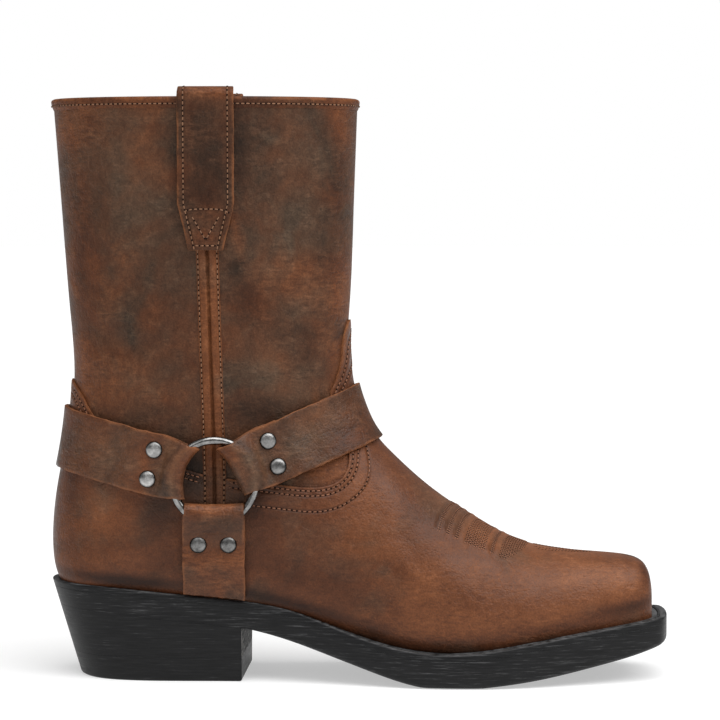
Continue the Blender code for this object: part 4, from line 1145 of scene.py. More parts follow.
def strapStations(line, foldLine, ring, foldEnd, landed, rests):
    h = harness
    along = math.sqrt(h["ringRadius"] ** 2 - foldLine.across**2)
    wire = ring.point(*(along * foldLine.ahead + foldLine.across * foldLine.left))
    inward = foldLine.at(along - h["near"], 0.0) - foldLine.at(along + h["near"], 0.0)
    out = foldLine.at(along, 1.0) - foldLine.at(along, 0.0)
    inward = unit(inward - out * inward.dot(out))
    centre = wire + inward * (along - foldEnd - foldRadius)
    stations = [line.at(run, lowerLayer) for run in (h["tailEnd"], h["rivetAt"], landed[0])]
    stations.append(wire - inward * h["pastWire"] - out * foldRadius)
    for angle in np.radians((-90, -60, -30, 0, 30, 60, 90)):
        stations.append(centre + foldRadius * (math.cos(angle) * inward + math.sin(angle) * out))
    stations.append(wire - inward * h["pastWire"] + out * foldRadius)
    stations.append(line.at(landed[0], upperLayer + landed[1]))
    for run in (h["rivetAt"], h["tailEnd"], h["tailEnd"] + h["flatPastTail"]):
        stations.append(line.at(run, upperLayer))
    stations.append(line.at(h["settled"], lowerLayer))
    for share in rests:
        stations.append(line.at(h["settled"] + (line.end - h["settled"]) * share, lowerLayer))
    return stations


def strapHalf(strap, side, rests):  # from the folded end to the middle of the boot, or to the welt
    ring = RingSeat(side)
    direction, endsAt, rise = strapRun(strap)
    foldWidth, reach, edges, landed = harness["folds"][strap]
    lines = []
    for share in np.linspace(-1, 1, harness["across"] + 1):
        wide = StrapLine(side, direction, share * harness["strapWidth"] / 2 + rise, endsAt)
        folded = StrapLine(side, direction, share * foldWidth / 2 + rise, endsAt)
        hollow = (reach - edges[int(share > 0)]) * share**2  # the end is hollow, like the ring
        lines.append(strapStations(wide, folded, ring, reach - hollow + boot["strap"] / 2, landed, rests))
    return np.array(lines).transpose(1, 0, 2)


def smoothStations(grid, step):  # a finer ribbon through the stations
    run = np.linalg.norm(np.diff(grid, axis=0), axis=-1).mean(axis=1)
    knots = np.concatenate([[0], np.cumsum(run)])
    places = [np.linspace(a, b, max(3, int((b - a) / step) + 1), endpoint=False)
              for a, b in zip(knots[:-1], knots[1:])]
    places = np.append(np.concatenate(places), knots[-1])
    fine = spline(knots, grid.reshape(len(grid), -1))(places)
    return fine.reshape(len(places), grid.shape[1], 3)


ribbonLook = {
    "ragged": 0.09, "raggedFrom": (0.6, 1.2),  # millimetres between rows, so that tight bends stay smooth
    "edges": ((0, 1, 0.0), (-1, -2, 2.1)),  # column, the one beside it, phase
    "slow": 0.83, "sway": (1.3, 0.37), "fast": (0.7, 2.3), "roundFrom": 55, "smooth": 50,
}


def raggedEdges(grid):  # cut edges that wander a little
    look = ribbonLook
    step = np.arange(len(grid))
    apart = np.linalg.norm(np.gradient(grid.mean(axis=1), axis=0), axis=-1)
    size = look["ragged"] * smoothStep(apart, *look["raggedFrom"])
    (swing, swingRate), (shake, shakeRate) = look["sway"], look["fast"]
    for column, beside, phase in look["edges"]:
        wander = np.sin(look["slow"] * step + phase + swing * np.sin(swingRate * step))
        wander += shake * np.sin(shakeRate * step + 2 * phase)
        grid[:, column] += (size * wander)[:, None] * unit(grid[:, column] - grid[:, beside])
    return grid


def ribbonPiece(name, grid, thickness, halfWidth, finish, edgeRound, seamAt=None):
    rows, columns = grid.shape[:2]
    grid = raggedEdges(grid.copy())
    piece = meshFrom(name, grid, gridFaces(rows, columns), (finish, rawEdge))
    width = np.broadcast_to(np.abs(np.linspace(-1, 1, columns)), (rows, columns))
    edge = (1 - width) * np.reshape(halfWidth, (-1, 1))
    paintMarks(piece, edge, outOfReach if seamAt is None else np.abs(edge - seamAt), strapMarks)
    thicken(piece, thickness, offset=0.0, material_offset_rim=1)
    roundEdges(piece, edgeRound, ribbonLook["roundFrom"])
    smoothByAngle(piece, ribbonLook["smooth"])
    return piece


# bands across each strap by distance from the ring: the rust band on the fold's roll and the pale band behind
# it are painted highlight, the dark band behind the wire painted shade of its valley, and the rust farther on
# the leather's own colour
foldMarks = {  # mark, millimetres from the ring's middle, width, strength
    "side": (("rust", 15.5, 2.6, 0.6), ("pale", 20.4, 1.5, 0.75), ("dark", 23.4, 1.3, 0.45),
             ("rust", 33.5, 5.0, 0.3)),
    "under": (("rust", 13.5, 2.5, 0.75), ("dark", 21.5, 4.0, 0.3), ("rust", 38.0, 7.0, 0.5)),
}


def strapPiece(name, node, stations, marks):
    grid = smoothStations(stations, harness["alongStep"])
    strap = ribbonPiece(name, grid, boot["strap"], harness["strapWidth"] / 2, strapLeather,
                        harness["edgeRound"])
    places = placesOf(strap)
    fromRing = np.hypot(places[:, 0] - harness["ringX"], places[:, 2] - harness["ringZ"])
    for mark, middle, width, strength in foldMarks[marks]:
        band = strength * np.exp(-(((fromRing - middle) / width) ** 2))
        setField(strap, mark, fieldOf(strap, mark) + band)
    return settle(strap, "strap_leather", node)


def buildStraps():
    rests = np.sin(np.linspace(0, math.pi / 2, harness["restSteps"] + 1)[1:])
    for strap in ("heel", "instep"):  # each runs round the boot from ring to ring
        outer, inner = [strapHalf(strap, side, rests) for side in bothSides]
        strapPiece(strap + "Strap", strap + "_strap", np.concatenate([outer, inner[-2::-1]]), "side")
    for side in bothSides:
        stations = strapHalf("under", side, (0.5, 1.0))
        strapPiece("underStrap" + side.title(), "under_strap_" + side, stations, "under")


buildStraps()
print("straps made")


def frameMatrix(point, out):
    out = Vector(out).normalized()
    toe = Vector((1.0, 0.0, 0.0))
    toe = (toe - out * toe.dot(out)).normalized()
    turned = Matrix((toe, out.cross(toe), out)).transposed().to_4x4()
    turned.translation = (Vector(point) - Vector((boot["originX"], 0, 0))) * mm
    return turned


ringLook = {"steps": 96, "wireSteps": 24, "tarnish": 0.12, "pressed": 0.95}  # height of the wire to its width


def buildRing(side):
    ring = RingSeat(side)
    bpy.ops.object.select_all(action="DESELECT")
    bpy.ops.mesh.primitive_torus_add(
        major_radius=harness["ringRadius"] * mm, minor_radius=harness["wireRadius"] * mm,
        major_segments=ringLook["steps"], minor_segments=ringLook["wireSteps"])
    piece = bpy.context.object
    piece.name = piece.data.name = "harnessRing" + side.title()
    pressing = {"value": (1.0, 1.0, ringLook["pressed"]), "center_override": (0.0, 0.0, 0.0)}
    inEditMode(piece, (bpy.ops.transform.resize, pressing))
    piece.data.materials.append(ringNickel)
    piece.data.transform(frameMatrix(ring.centre, ring.out))
    setField(piece, "tarnish", np.full(len(piece.data.vertices), ringLook["tarnish"]))
    bpy.ops.object.shade_smooth()
    return settle(piece, "nickel", "ring_" + side)


for side in bothSides:
    buildRing(side)

# rivet heads: a low cap with a rolled rim, modelled once and copied
rivetLook = {
    "radius": 4.05, "height": 1.75, "crown": 1.01, "sides": 28, "lift": 0.05,
    "profile": ((1.0, 0.0), (1.02, 0.18), (0.99, 0.36), (0.92, 0.53), (0.78, 0.72), (0.56, 0.88),
                (0.28, 0.98)),  # shares of the radius and of the height
    "tarnish": {"heel": 0.12, "instep": 0.38, "under": 0.5}, "tarnishStep": 0.05,
    # rim tarnish: tarnish and painted shade round the head's foot
    "rim": (0.86, 1.0), "rimTarnish": 1.1, "smooth": 60,
}


def rivetHead():  # one head, standing at the origin
    look = rivetLook
    bpy.ops.object.select_all(action="DESELECT")
    bpy.ops.mesh.primitive_circle_add(vertices=look["sides"], radius=look["radius"] * mm, fill_type="NGON")
    head = bpy.context.object
    bpy.ops.object.mode_set(mode="EDIT")
    bpy.ops.mesh.select_all(action="SELECT")
    for (wide, low), (narrow, high) in zip(look["profile"][:-1], look["profile"][1:]):
        raised = {"value": (0.0, 0.0, (high - low) * look["height"] * mm)}
        bpy.ops.mesh.extrude_region_move(TRANSFORM_OT_translate=raised)
        drawn = (narrow / wide, narrow / wide, 1.0)
        bpy.ops.transform.resize(value=drawn, center_override=(0.0, 0.0, 0.0))
    bpy.ops.mesh.poke(offset=(look["crown"] - high) * look["height"] * mm)
    bpy.ops.mesh.select_all(action="SELECT")
    bpy.ops.mesh.normals_make_consistent(inside=False)
    bpy.ops.object.mode_set(mode="OBJECT")
    head.data.materials.append(rivetNickel)
    return head


def buildRivets():
    look = rivetLook
    head = rivetHead()
    fromMiddle = np.array([v.co.xy.length for v in head.data.vertices]) / (look["radius"] * mm)
    # darker rim round the head's foot: tarnish and painted shade
    rimTarnish = look["rimTarnish"] * smoothStep(fromMiddle, *look["rim"])
    copies, nodes = [], []
    for strap in ("heel", "instep", "under"):
        direction, endsAt, rise = strapRun(strap)
        pair = (rise + harness["rivetSpread"], rise - harness["rivetSpread"])
        for side in bothSides:
            for number, across in enumerate(pair, 1):
                line = StrapLine(side, direction, across, endsAt)
                place = line.at(harness["rivetAt"], upperLayer + boot["strap"] / 2 + look["lift"])
                rivet = head.copy()
                rivet.data = head.data.copy()
                rivet.data.transform(frameMatrix(place, place - line.at(harness["rivetAt"], 0.0)))
                setField(rivet, "tarnish", rimTarnish + look["tarnish"][strap] + look["tarnishStep"] * number)
                bpy.context.scene.collection.objects.link(rivet)
                copies.append(rivet)
                nodes.append(f"rivet_{strap}_{side}_{number}")
    bpy.data.objects.remove(head)
    onlySelect(copies[0])
    for rivet in copies:
        rivet.select_set(True)
    bpy.ops.object.join()
    rivets = bpy.context.object
    rivets.name = rivets.data.name = "harnessRivets"
    order = {"type": "CURSOR_DISTANCE", "elements": {"VERT", "EDGE", "FACE"}}
    inEditMode(rivets, (bpy.ops.mesh.sort_elements, order))  # extruding leaves them in no fixed order
    smoothByAngle(rivets, look["smooth"])
    return settle(rivets, "nickel", *nodes)


buildRivets()
print("rings and rivets made")

# pull straps: up the outside, over the collar and down inside
pullLook = {
    "x": {"lateral": 79.9, "medial": 77.5}, "thickness": 1.8, "width": 26.8, "tipWidth": 16.4,
    "tipZ": 210.6, "taperZ": 233.0, "innerZ": 246.0, "tipSteps": 10, "legSteps": 18, "innerSteps": 14,
    "bendStep": 15, "across": 14, "edgeRound": 0.4, "stitchIn": 2.9, "stitchLift": 0.05, "unsewn": 6,
    "boxZ": 230.4, "boxBow": 1.6, "footRow": 2.2, "veeHalf": 6.5, "veeTop": 227.0, "veeFoot": 215.6,
    "samples": {"box": 30, "foot": 20, "vee": 40}, "probe": 0.5,
}


def pullPath():  # height over the ground and off the skin, from the tip over the collar to the inner end
    look = pullLook
    outside = boot["gap"] + boot["overlay"] + boot["gap"] + look["thickness"] / 2
    inside = -(boot["wall"] + boot["gap"] + boot["binding"] + boot["gap"] + look["thickness"] / 2)
    bend, middle = (outside - inside) / 2, (outside + inside) / 2
    top = boot["collarZ"] + boot["gap"] + boot["binding"] + boot["gap"]
    path = [(z, outside) for z in np.linspace(look["tipZ"], look["taperZ"], look["tipSteps"])]
    path += [(z, outside) for z in np.linspace(look["taperZ"], top, look["legSteps"])[1:]]
    for angle in np.radians(np.arange(look["bendStep"], 180, look["bendStep"])):
        path.append((top + bend * math.sin(angle), middle + bend * math.cos(angle)))
    path += [(z, inside) for z in np.linspace(top, look["innerZ"], look["innerSteps"])]
    return np.array(path)


def pullWidth(z):
    look = pullLook
    return tableAt(((look["tipZ"], look["tipWidth"]), (look["taperZ"], look["width"])), z)


def pullPoint(x, z, height, side):  # a point of the pull strap, also above the collar
    turn, row = locate(x, np.minimum(z, boot["collarZ"]))
    points = lifted(sided(turn, side), row, height)
    points[..., 2] += np.maximum(z - boot["collarZ"], 0)
    return points


def buildPullStrap(side):
    look = pullLook
    path = pullPath()
    widths = pullWidth(path[:, 0])
    x = look["x"][side] + np.linspace(-1, 1, look["across"] + 1)[None, :] * widths[:, None] / 2
    z, height = [np.broadcast_to(path[:, k:k + 1], x.shape) for k in (0, 1)]
    strap = ribbonPiece("pullStrap" + side.title(), pullPoint(x, z, height, side), look["thickness"],
                        widths / 2, pullLeather, look["edgeRound"], look["stitchIn"])
    return settle(strap, "strap_leather", "pull_strap_" + side)


for side in bothSides:
    buildPullStrap(side)

# collar: a folded strip with a rounded top
bindingLook = {
    "columns": 220, "roundSteps": 9, "feather": 0.18, "lowLip": (0.3, 1.0), "fullFrom": -1.6, "lean": 0.05,
    "shoulder": 0.75, "innerTop": -0.2, "innerGap": 0.1, "edgeLift": 0.2, "edgeScale": 1.1,
    "stitchZ": 280.9, "stitchRow": 21.9, "stitchLift": 0.02, "stitchSamples": 400, "seamSink": 0.3,
    "merge": 0.005, "smooth": 60,
}


def bindingProfile():  # height off the skin, rise over the collar
    look = bindingLook
    outside, inside = boot["gap"] + boot["binding"], -boot["wall"] - boot["gap"] - boot["binding"]
    low, high = -boot["bindingDepth"], boot["gap"] + boot["binding"]
    middle, half = (outside + inside) / 2, (outside - inside) / 2
    shoulder = high - half * look["shoulder"]
    lipOut, lipUp = look["lowLip"]
    corners = [(look["feather"], low), (boot["gap"] + lipOut, low + lipUp)]
    corners += [(outside - look["lean"], look["fullFrom"]), (outside, shoulder)]
    for angle in np.linspace(0, math.pi, look["roundSteps"] + 2)[1:-1]:
        corners.append((middle + half * math.cos(angle), shoulder + (high - shoulder) * math.sin(angle)))
    corners += [(inside, shoulder), (inside, low), (inside + boot["binding"], low)]
    return corners + [(inside + boot["binding"], look["innerTop"]), (-look["innerGap"], look["innerTop"])]


def buildBinding():
    look = bindingLook
    turns = np.arange(look["columns"]) * 2 / look["columns"]
    highZ = [row[3] for row in lastSections[boot["ankleRow"]:]]
    loops = []
    for height, rise in bindingProfile():
        row = boot["ankleRow"] + np.interp(boot["collarZ"] + rise, highZ, np.arange(len(highZ)))
        loop = lifted(turns, np.full(turns.shape, row), np.full(turns.shape, height))
        loop[:, 2] = boot["collarZ"] + rise
        loops.append(loop)
    faces = ringFaces(len(loops), look["columns"], closed=True)
    binding = meshFrom("collarBinding", np.array(loops), faces, (bindingLeather,))
    meshClean(binding, look["merge"])
    z = placesOf(binding)[:, 2]
    edge = np.clip((boot["collarZ"] + look["edgeLift"] - z) * look["edgeScale"], 0, outOfReach)
    # painted shade along the collar's row of stitches
    paintMarks(binding, edge, np.abs(z - look["stitchZ"]) + look["seamSink"])
    smoothByAngle(binding, look["smooth"])
    return settle(binding, "binding_leather", "collar_binding")


buildBinding()
print("pull straps and binding made")

# sole: welt, outsole, heel block and heel lift through levels of the same plan
soleLook = {
    "steps": 150, "heelBreast": 96.0, "breastBlend": (-1.0, 3.0), "heelRake": 0.305, "heelTaper": 3.0,
    "liftHeight": 12.0, "weltHeight": 3.3, "rimHeight": 2.7, "rimWidth": 5.0, "hairline": 0.04,
    "joint": ((1.0, 0.0), (0.0, 0.1), (0.0, 0.4)),  # share of the way inwards, depth
    "jointIn": 0.04, "plateJointIn": 0.06,
    "blockLayers": 7, "liftFoot": ((0.0, 1.2), (0.25, 0.5), (1.0, 0.0)),  # inwards, height
    "weltProfile": (  # inwards, over the welt's top
        (0.0, -3.3), (0.0, -0.9), (0.15, -0.4), (0.55, -0.08), (1.1, 0.0), (2.9, 0.0), (3.25, -0.2),
        (3.7, -0.5), (4.3, -0.5), (4.75, -0.2), (5.1, 0.0), (9.0, 0.0), (13.0, 0.0), (13.0, -3.3),
    ),
    "rimCurve": ((0.0, 1.0), (0.03, 0.72), (0.12, 0.45), (0.3, 0.22), (0.6, 0.06), (1.0, 0.0)),
    "weltThread": {"pitch": 4.2, "length": 3.3, "thick": 0.5}, "threadIn": 4.0, "threadDepth": 0.22,
    "weltWear": 0.15, "breastFacing": 0.8, "merge": 0.005,
    "smooth": {"welt": 60, "outsole": 55, "heel": 50},
}


def planLoop(inset, heelInset=None):
    half = np.linspace(0, math.pi, soleLook["steps"] + 1)
    widths = planAt(half)
    x = planBack + planHalf * (1 - np.cos(half))
    outer = np.stack([x, -widths[:, 0]], -1)
    inner = np.stack([x, widths[:, 1]], -1)
    loop = np.concatenate([outer, inner[-2:0:-1]])
    ahead = unit(np.roll(loop, -1, axis=0) - np.roll(loop, 1, axis=0))
    if heelInset is not None:
        blend = smoothStep(loop[:, :1] - soleLook["heelBreast"], *soleLook["breastBlend"])
        inset = heelInset + (inset - heelInset) * blend
    return loop + inset * np.stack([-ahead[:, 1], ahead[:, 0]], -1)


def raked(plan, z):  # the heel's back leans forward on its way down
    drop = soleLook["heelRake"] * (weltTop(plan[:, 0]) - z)
    back = np.clip((soleLook["heelBreast"] - plan[:, 0]) / (soleLook["heelBreast"] - planBack), 0, 1)
    return np.stack([plan[:, 0] + drop * back, plan[:, 1], z], -1)


def soleLevel(inset, heightAt, heelInset=None):
    plan = planLoop(inset, heelInset)
    return raked(plan, heightAt(plan[:, 0]))


def capFaces(base, count):  # a cap that pairs the two sides of a level
    faces = []
    for j in range(count // 2):
        ring = (base + j, base + j + 1, base + (count - j - 1) % count, base + (count - j) % count)
        faces.append(tuple(dict.fromkeys(ring)))
    return faces


def stackPiece(name, levels, finishes, part, closed=False):  # a solid through levels, or a closed band
    levels = np.array(levels)
    loops, count = levels.shape[:2]
    faces = [tuple(f) for f in ringFaces(loops, count, closed)]
    if not closed:
        faces += capFaces(0, count) + capFaces((loops - 1) * count, count)
    piece = meshFrom(name, levels, faces, finishes)
    meshClean(piece, soleLook["merge"])
    setField(piece, "edge", np.full(len(piece.data.vertices), outOfReach))
    smoothByAngle(piece, soleLook["smooth"][part])
    return piece


def jointLevels(level, heightAt, inset, step=-1):  # a joint's edge, drawn in a hair; step 1 for a lower edge
    levels = [level(share * inset, lambda x, d=depth: heightAt(x) + step * d)
              for share, depth in soleLook["joint"]]
    return levels[::-step]


def buildWelt():
    levels = [soleLevel(inset, lambda x, r=rise: weltTop(x) + r) for inset, rise in soleLook["weltProfile"]]
    welt = stackPiece("weltStrip", levels, (rubber,), "welt", closed=True)
    places = placesOf(welt)
    # wear and painted highlight along the welt's top rim, from this distance
    setField(welt, "edge", np.abs(places[:, 2] - weltTop(places[:, 0])) + soleLook["weltWear"])
    return settle(welt, "sole_rubber", "welt")


def plateTop(x):
    return weltTop(x) - soleLook["weltHeight"] - soleLook["hairline"]


def buildOutsole():
    look = soleLook
    levels = jointLevels(soleLevel, plateTop, look["plateJointIn"])
    for share, rise in look["rimCurve"]:
        levels.append(soleLevel(
            look["rimWidth"] * share, lambda x, r=rise: treadAt(x) + look["rimHeight"] * r, 0.0))
    return settle(stackPiece("outsolePlate", levels, (rubber,), "outsole"), "sole_rubber", "outsole")


def heelLevel(inset, heightAt):
    breastTurn = math.acos(1 - (soleLook["heelBreast"] - planBack) / planHalf)
    half = np.linspace(0, breastTurn, soleLook["steps"] // 2 + 1)
    widths = planAt(half)
    x = planBack + planHalf * (1 - np.cos(half))
    z = np.broadcast_to(heightAt(x), x.shape)
    narrow = soleLook["heelTaper"] * (1 - z / treadAt(x)) + inset
    roundIn = np.clip(widths / widths.max(), 0, 1)
    outer = raked(np.stack([x, -widths[:, 0] + narrow * roundIn[:, 0]], -1), z)
    inner = raked(np.stack([x, widths[:, 1] - narrow * roundIn[:, 1]], -1), z)
    level = np.concatenate([outer, inner[:0:-1]])
    level[:, 0] += inset * (1 - 2 * np.concatenate([x, x[:0:-1]]) / soleLook["heelBreast"])
    return level


def blockTop(x):
    return treadAt(x) - soleLook["hairline"]


def buildHeel():
    look = soleLook
    lift = look["liftHeight"]
    foot = lift + look["hairline"]
    levels = jointLevels(heelLevel, blockTop, look["jointIn"])
    for share in np.linspace(0, 1, look["blockLayers"])[1:-1]:
        levels.append(heelLevel(0.0, lambda x, s=share: blockTop(x) + (foot - blockTop(x)) * s))
    levels += jointLevels(heelLevel, lambda x: foot, look["jointIn"], 1)
    block = stackPiece("heelBlock", levels, (heelRubber, breast), "heel")
    for polygon in block.data.polygons:  # the face that looks forward takes the stack's own finish
        if polygon.normal.x > look["breastFacing"]:
            polygon.material_index = 1
    settle(block, "heel_stack", "heel_block")
    levels = jointLevels(heelLevel, lambda x: lift, look["jointIn"])
    levels += [heelLevel(inset, lambda x, z=height: z) for inset, height in look["liftFoot"]]
    settle(stackPiece("heelLift", levels, (heelRubber,), "heel"), "sole_rubber", "heel_lift")


buildWelt()
buildOutsole()
buildHeel()

insoleLook = {"merge": 0.02, "edgeRound": 0.6, "roundFrom": 60, "smooth": 40}


def buildInsole():  # the node's own shape with rounded edges
    look = insoleLook
    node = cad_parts["insole"]
    piece = node.copy()
    piece.data = node.data.copy()
    piece.name = piece.data.name = "footbed"
    piece.parent = None
    for key in list(piece.keys()):
        del piece[key]
    bpy.context.scene.collection.objects.link(piece)
    meshClean(piece, look["merge"], turnOut=False)
    roundEdges(piece, look["edgeRound"], look["roundFrom"])
    piece.data.materials.clear()
    piece.data.materials.append(lining)
    smoothByAngle(piece, look["smooth"])
    return settle(piece, "insole_leather", "insole")


buildInsole()
print("sole and footbed made")

# stitches: short threads along lines, with a pinhole at each end, drawn as a dark bead of painted shade
stitchLook = {
    "length": 1.75, "pitch": 2.5, "thick": 0.29, "flat": 0.8, "zigzag": 0.0,
    "hole": 0.46, "holeDepth": 0.14, "holeAt": 0.98,
}


def capsule(around=7, rings=5):  # a thread from -1 to 1 along x with unit radius
    points = []
    for v in np.sin(np.linspace(-math.pi / 2, math.pi / 2, rings + 2))[1:-1]:
        r = (1 - abs(v) ** 3) ** 0.5
        points += [(v, r * math.cos(a), r * math.sin(a))
                   for a in np.linspace(0, 2 * math.pi, around, endpoint=False)]
    points += [(-1, 0, 0), (1, 0, 0)]
    last, tip = (rings - 1) * around, rings * around
    faces = [tuple(f[::-1]) for f in ringFaces(rings, around)]
    faces += [(tip, j, (j + 1) % around) for j in range(around)]
    faces += [(tip + 1, last + (j + 1) % around, last + j) for j in range(around)]
    return np.array(points), faces


def threadFrames(points, normals, pitch, start=0.0):  # places along a line, one for each stitch
    run = runAlong(points)
    places = np.arange(start + pitch / 2, run[-1] - pitch / 4, pitch)
    ahead = unit(pointsAt(places + pitch / 3, run, points) - pointsAt(places - pitch / 3, run, points))
    out = unit(pointsAt(places, run, normals))
    out = unit(out - ahead * (out * ahead).sum(-1, keepdims=True))
    return pointsAt(places, run, points), ahead, out


class StitchBasket:  # gathers stitches of one thread, then makes one mesh of them
    def __init__(self, name, thread):
        self.name, self.thread = name, thread
        self.stitches, self.holes = [], []

    def sew(self, points, normals, start=0.0, holes=True, **changes):
        look = {**stitchLook, **changes}
        centre, ahead, out = threadFrames(points, normals, look["pitch"], start)
        if look["zigzag"]:
            sign = np.where(np.arange(len(ahead)) % 2, 1.0, -1.0)[:, None]
            ahead = unit(ahead + np.cross(out, ahead) * sign * look["zigzag"])
        thread = (look["length"] / 2, look["thick"], look["thick"] * look["flat"])
        self.stitches.append((centre, ahead, out, thread, 0))
        if holes:
            hole = (look["hole"], look["hole"], look["holeDepth"])
            self.holes.append((centre + ahead * (look["pitch"] / 2) * look["holeAt"], ahead, out, hole, 1))

    def finish(self, slot):
        shape, shapeFaces = capsule()
        points, faces, finishes, count = [], [], [], 0
        for centre, ahead, out, size, finish in self.stitches + self.holes:
            axes = (ahead, np.cross(out, ahead), out)
            local = shape * size
            placed = centre[:, None] + sum(local[:, k:k + 1] * axes[k][:, None] for k in range(3))
            for _ in centre:
                faces += [tuple(i + count for i in f) for f in shapeFaces]
                count += len(shape)
            finishes += [finish] * (len(shapeFaces) * len(centre))
            points.append(placed.reshape(-1, 3))
        piece = meshFrom(self.name, np.concatenate(points), faces, (self.thread, pinhole))
        piece.data.polygons.foreach_set("material_index", np.array(finishes, np.int32))
        onlySelect(piece)
        bpy.ops.object.shade_smooth()
        return settle(piece, slot)


# middle of a thread that lies on an overlay
overlayTop = boot["gap"] + boot["overlay"] + overlayLook["threadLift"]


def skinLine(seen, side, height):  # a line seen from the side, laid on the skin
    turn, row = locate(seen[:, 0], seen[:, 1])
    turn = sided(turn, side)
    return lifted(turn, row, np.broadcast_to(height, turn.shape)), normalAt(turn, row)


def sewVamp():
    basket = StitchBasket("vampStitches", brownThread)
    for side in bothSides:
        for distance in overlayLook["stitchRows"]:
            basket.sew(*skinLine(sideStep(vampEdge, distance)[2:-2], side, overlayTop))
        basket.sew(*skinLine(vampThirdRow, side, overlayTop))
        for distance in overlayLook["stitchRows"]:
            basket.sew(*skinLine(sideStep(counterEdge, -distance)[1:-3], side, overlayTop))
    return basket.finish("vamp_leather")


def toeLine(x, y, slanted=True):  # a line over the toe, raised with the ridges where it runs across them
    look = toeStitching
    if slanted:
        half = tableAt(look["halfWidths"], x - look["slantBehind"])
        x = x - tableAt(look["slants"], x) * np.abs(y) / half
    turn, row = topSpot(x, y)
    base, out = surfaceAt(turn, row), normalAt(turn, row)
    relief = toeRelief(base) if slanted else np.zeros(len(base))
    return base + (overlayTop + relief)[:, None] * out, out


def sewToe():
    basket = StitchBasket("toeStitches", brownThread)
    look = toeStitching
    for x in look["valleys"]:
        reach = tableAt(look["halfWidths"], x) - look["endGap"]
        for side in (-1, 1):
            line = toeLine(x + side * look["pairGap"], np.linspace(-reach, reach, look["samples"]))
            basket.sew(*line, **look["valleyThread"])
    for first, last, half, rows, taper in look["clusters"]:
        for i, x in enumerate(np.linspace(first, last, rows)):
            reach = half * (1 - taper * (i / (rows - 1)) ** 2)
            line = toeLine(x, np.linspace(-reach, reach, look["samples"]))
            basket.sew(*line, start=look["stagger"] * (i % 2), **look["clusterThread"])
    bow = np.sin(np.linspace(math.pi * look["petalFrom"], math.pi, look["petalSamples"]))
    for sign in (-1, 1):
        for share in look["petals"]:
            back, tip = np.array(look["petalEnds"]) - np.array(look["petalEndsIn"]) * (1 - share)
            x = np.linspace(back, tip, look["petalSamples"])
            y = sign * look["petalHalf"] * share * bow
            basket.sew(*toeLine(x, y, slanted=False), **look["petalThread"])
    return basket.finish("vamp_leather")


def sewShaft():
    basket = StitchBasket("shaftStitches", tanThread)
    look = seamLook
    foot = weltTop(seamX(look["footZ"])) + look["stitchFoot"]
    z = np.linspace(foot, look["stitchTop"], look["stitchSamples"])
    for side in bothSides:
        for sign in (-1, 1):
            seen = np.stack([seamX(z) + sign * look["stitchAt"], z], -1)
            basket.sew(*skinLine(seen, side, look["stitchHeight"] + look["stitchLap"] * seamOver(z)))
    turns = np.linspace(0, 2, bindingLook["stitchSamples"])
    row = np.full(turns.shape, bindingLook["stitchRow"])
    height = boot["gap"] + boot["binding"] + bindingLook["stitchLift"]
    collar = lifted(turns, row, np.full(turns.shape, height))
    collar[:, 2] = bindingLook["stitchZ"]
    basket.sew(collar, normalAt(turns, row))
    return basket.finish("shaft_leather")


def sewPullStraps():
    basket = StitchBasket("pullStrapStitches", tanThread)
    look = pullLook
    face = look["thickness"] / 2 + look["stitchLift"]
    path = pullPath()[:-look["unsewn"]]
    top = path[0, 1] + face
    for side in bothSides:
        middle = look["x"][side]

        def lay(x, z):  # a line on the outer leg
            points = pullPoint(x, z, np.full(len(x), top), side)
            return points, unit(points - pullPoint(x, z, np.full(len(x), top - look["probe"]), side))

        for sign in (-1, 1):
            x = middle + sign * (pullWidth(path[:, 0]) / 2 - look["stitchIn"])
            base = pullPoint(x, path[:, 0], path[:, 1], side)
            out = unit(np.cross(np.array((1.0, 0, 0)), unit(np.gradient(base, axis=0))))
            turn, row = locate(x[0], path[0, 0])
            out *= math.copysign(1.0, out[0] @ normalAt(sided(turn, side), row))
            basket.sew(base + face * out, out)
        across = np.linspace(-1, 1, look["samples"]["box"])
        bowed = look["boxZ"] - look["boxBow"] * np.abs(across) ** 4
        basket.sew(*lay(middle + (look["width"] / 2 - look["stitchIn"]) * across, bowed))
        across = np.linspace(-1, 1, look["samples"]["foot"])
        low = np.full(across.shape, look["tipZ"] + look["footRow"])
        basket.sew(*lay(middle + (look["tipWidth"] / 2 - look["stitchIn"]) * across, low))
        share = np.linspace(0, 1, look["samples"]["vee"])
        for sign in (-1, 1):
            x = middle + sign * look["veeHalf"] * (1 - share)
            basket.sew(*lay(x, look["veeTop"] + (look["veeFoot"] - look["veeTop"]) * share))
    return basket.finish("strap_leather")


def sewWelt():
    basket = StitchBasket("weltStitches", blackThread)
    loop = soleLevel(soleLook["threadIn"], lambda x: weltTop(x) - soleLook["threadDepth"])
    loop = np.vstack([loop, loop[:1]])
    out = np.tile((0.0, 0.0, 1.0), (len(loop), 1))
    basket.sew(loop, out, holes=False, **soleLook["weltThread"])
    return basket.finish("sole_rubber")


stitching = [sewVamp(), sewToe(), sewShaft(), sewPullStraps(), sewWelt()]
print("stitches:", sum(len(s.data.polygons) for s in stitching), "faces")

# floor, light and camera
studio = {
    "floorSize": 40.0, "floorGlow": 0.46, "floorColours": ((0.2, (0.57, 0.57, 0.57)), (0.8, (0.6, 0.6, 0.6))),
    "roomLight": 0.26, "backdropLight": 1.0,
    "sun": ((0.28, -0.3, 0.91), 3.1, 62.0),  # from, strength, width in degrees
    "softBoxes": (((-0.9, -1.5, 1.5), 1.1, 4.5), ((1.5, -0.9, 1.3), 0.9, 7.0)),  # place, size, power
    "boxAim": (0.0, 0.0, 0.12),
    "camera": (0.0606, -1.4, 0.226), "aim": (0.0007, 0.0, 0.1557), "lens": 141.5, "sensor": 36.0,
}


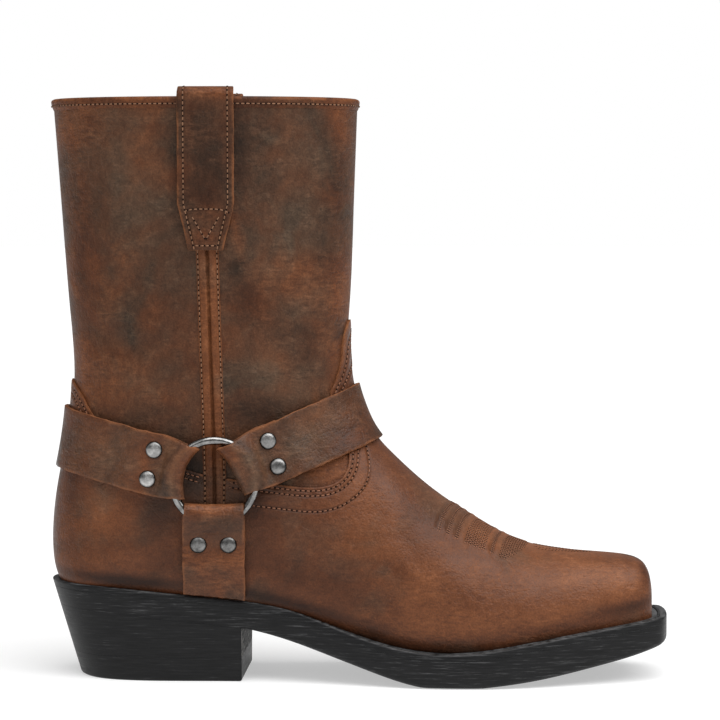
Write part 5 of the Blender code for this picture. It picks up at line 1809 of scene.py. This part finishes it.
def addFloor():
    bpy.ops.object.select_all(action="DESELECT")
    bpy.ops.mesh.primitive_plane_add(size=studio["floorSize"], location=(0, 0, 0))
    floor = bpy.context.object
    floor.name = "studioFloor"
    glow = {"Emission Color": (1, 1, 1, 1), "Emission Strength": studio["floorGlow"]}
    paint = Finish("floorPaint", **{"Roughness": 0.9, "Specular IOR Level": 0.05, **glow})
    floor.data.materials.append(paint.use(Base_Color=paint.ramp(paint.noise(900, 2), studio["floorColours"])))


def addRoom():  # a dim room, with a white backdrop behind the boot
    world = bpy.data.worlds.new("studioRoom")
    world.use_nodes = True
    nodes, links = world.node_tree.nodes, world.node_tree.links
    room, backdrop = nodes["Background"], nodes.new("ShaderNodeBackground")
    either = nodes.new("ShaderNodeMixShader")
    links.new(nodes.new("ShaderNodeLightPath").outputs["Is Camera Ray"], either.inputs[0])
    for socket, light, strength in ((1, room, studio["roomLight"]), (2, backdrop, studio["backdropLight"])):
        light.inputs["Color"].default_value = (1, 1, 1, 1)
        light.inputs["Strength"].default_value = strength
        links.new(light.outputs[0], either.inputs[socket])
    links.new(either.outputs[0], nodes["World Output"].inputs["Surface"])
    bpy.context.scene.world = world


def aimed(thing, place, target):
    thing.location = place
    thing.rotation_euler = (Vector(target) - Vector(place)).to_track_quat("-Z", "Y").to_euler()
    bpy.context.scene.collection.objects.link(thing)


def addLights():
    place, strength, width = studio["sun"]
    sun = bpy.data.lights.new("overheadLight", "SUN")
    sun.energy, sun.angle = strength, math.radians(width)
    aimed(bpy.data.objects.new("overheadLight", sun), place, (0, 0, 0))
    for i, (place, size, power) in enumerate(studio["softBoxes"], 1):
        box = bpy.data.lights.new(f"softBox{i}", "AREA")
        box.size, box.energy = size, power
        aimed(bpy.data.objects.new(f"softBox{i}", box), place, studio["boxAim"])


def addCamera():
    camera = bpy.data.objects.new("photoCamera", bpy.data.cameras.new("photoCamera"))
    camera.data.lens, camera.data.sensor_width = studio["lens"], studio["sensor"]
    aimed(camera, studio["camera"], studio["aim"])
    bpy.context.scene.camera = camera
    bpy.context.scene.view_settings.view_transform = "Standard"


addFloor()
addRoom()
addLights()
addCamera()
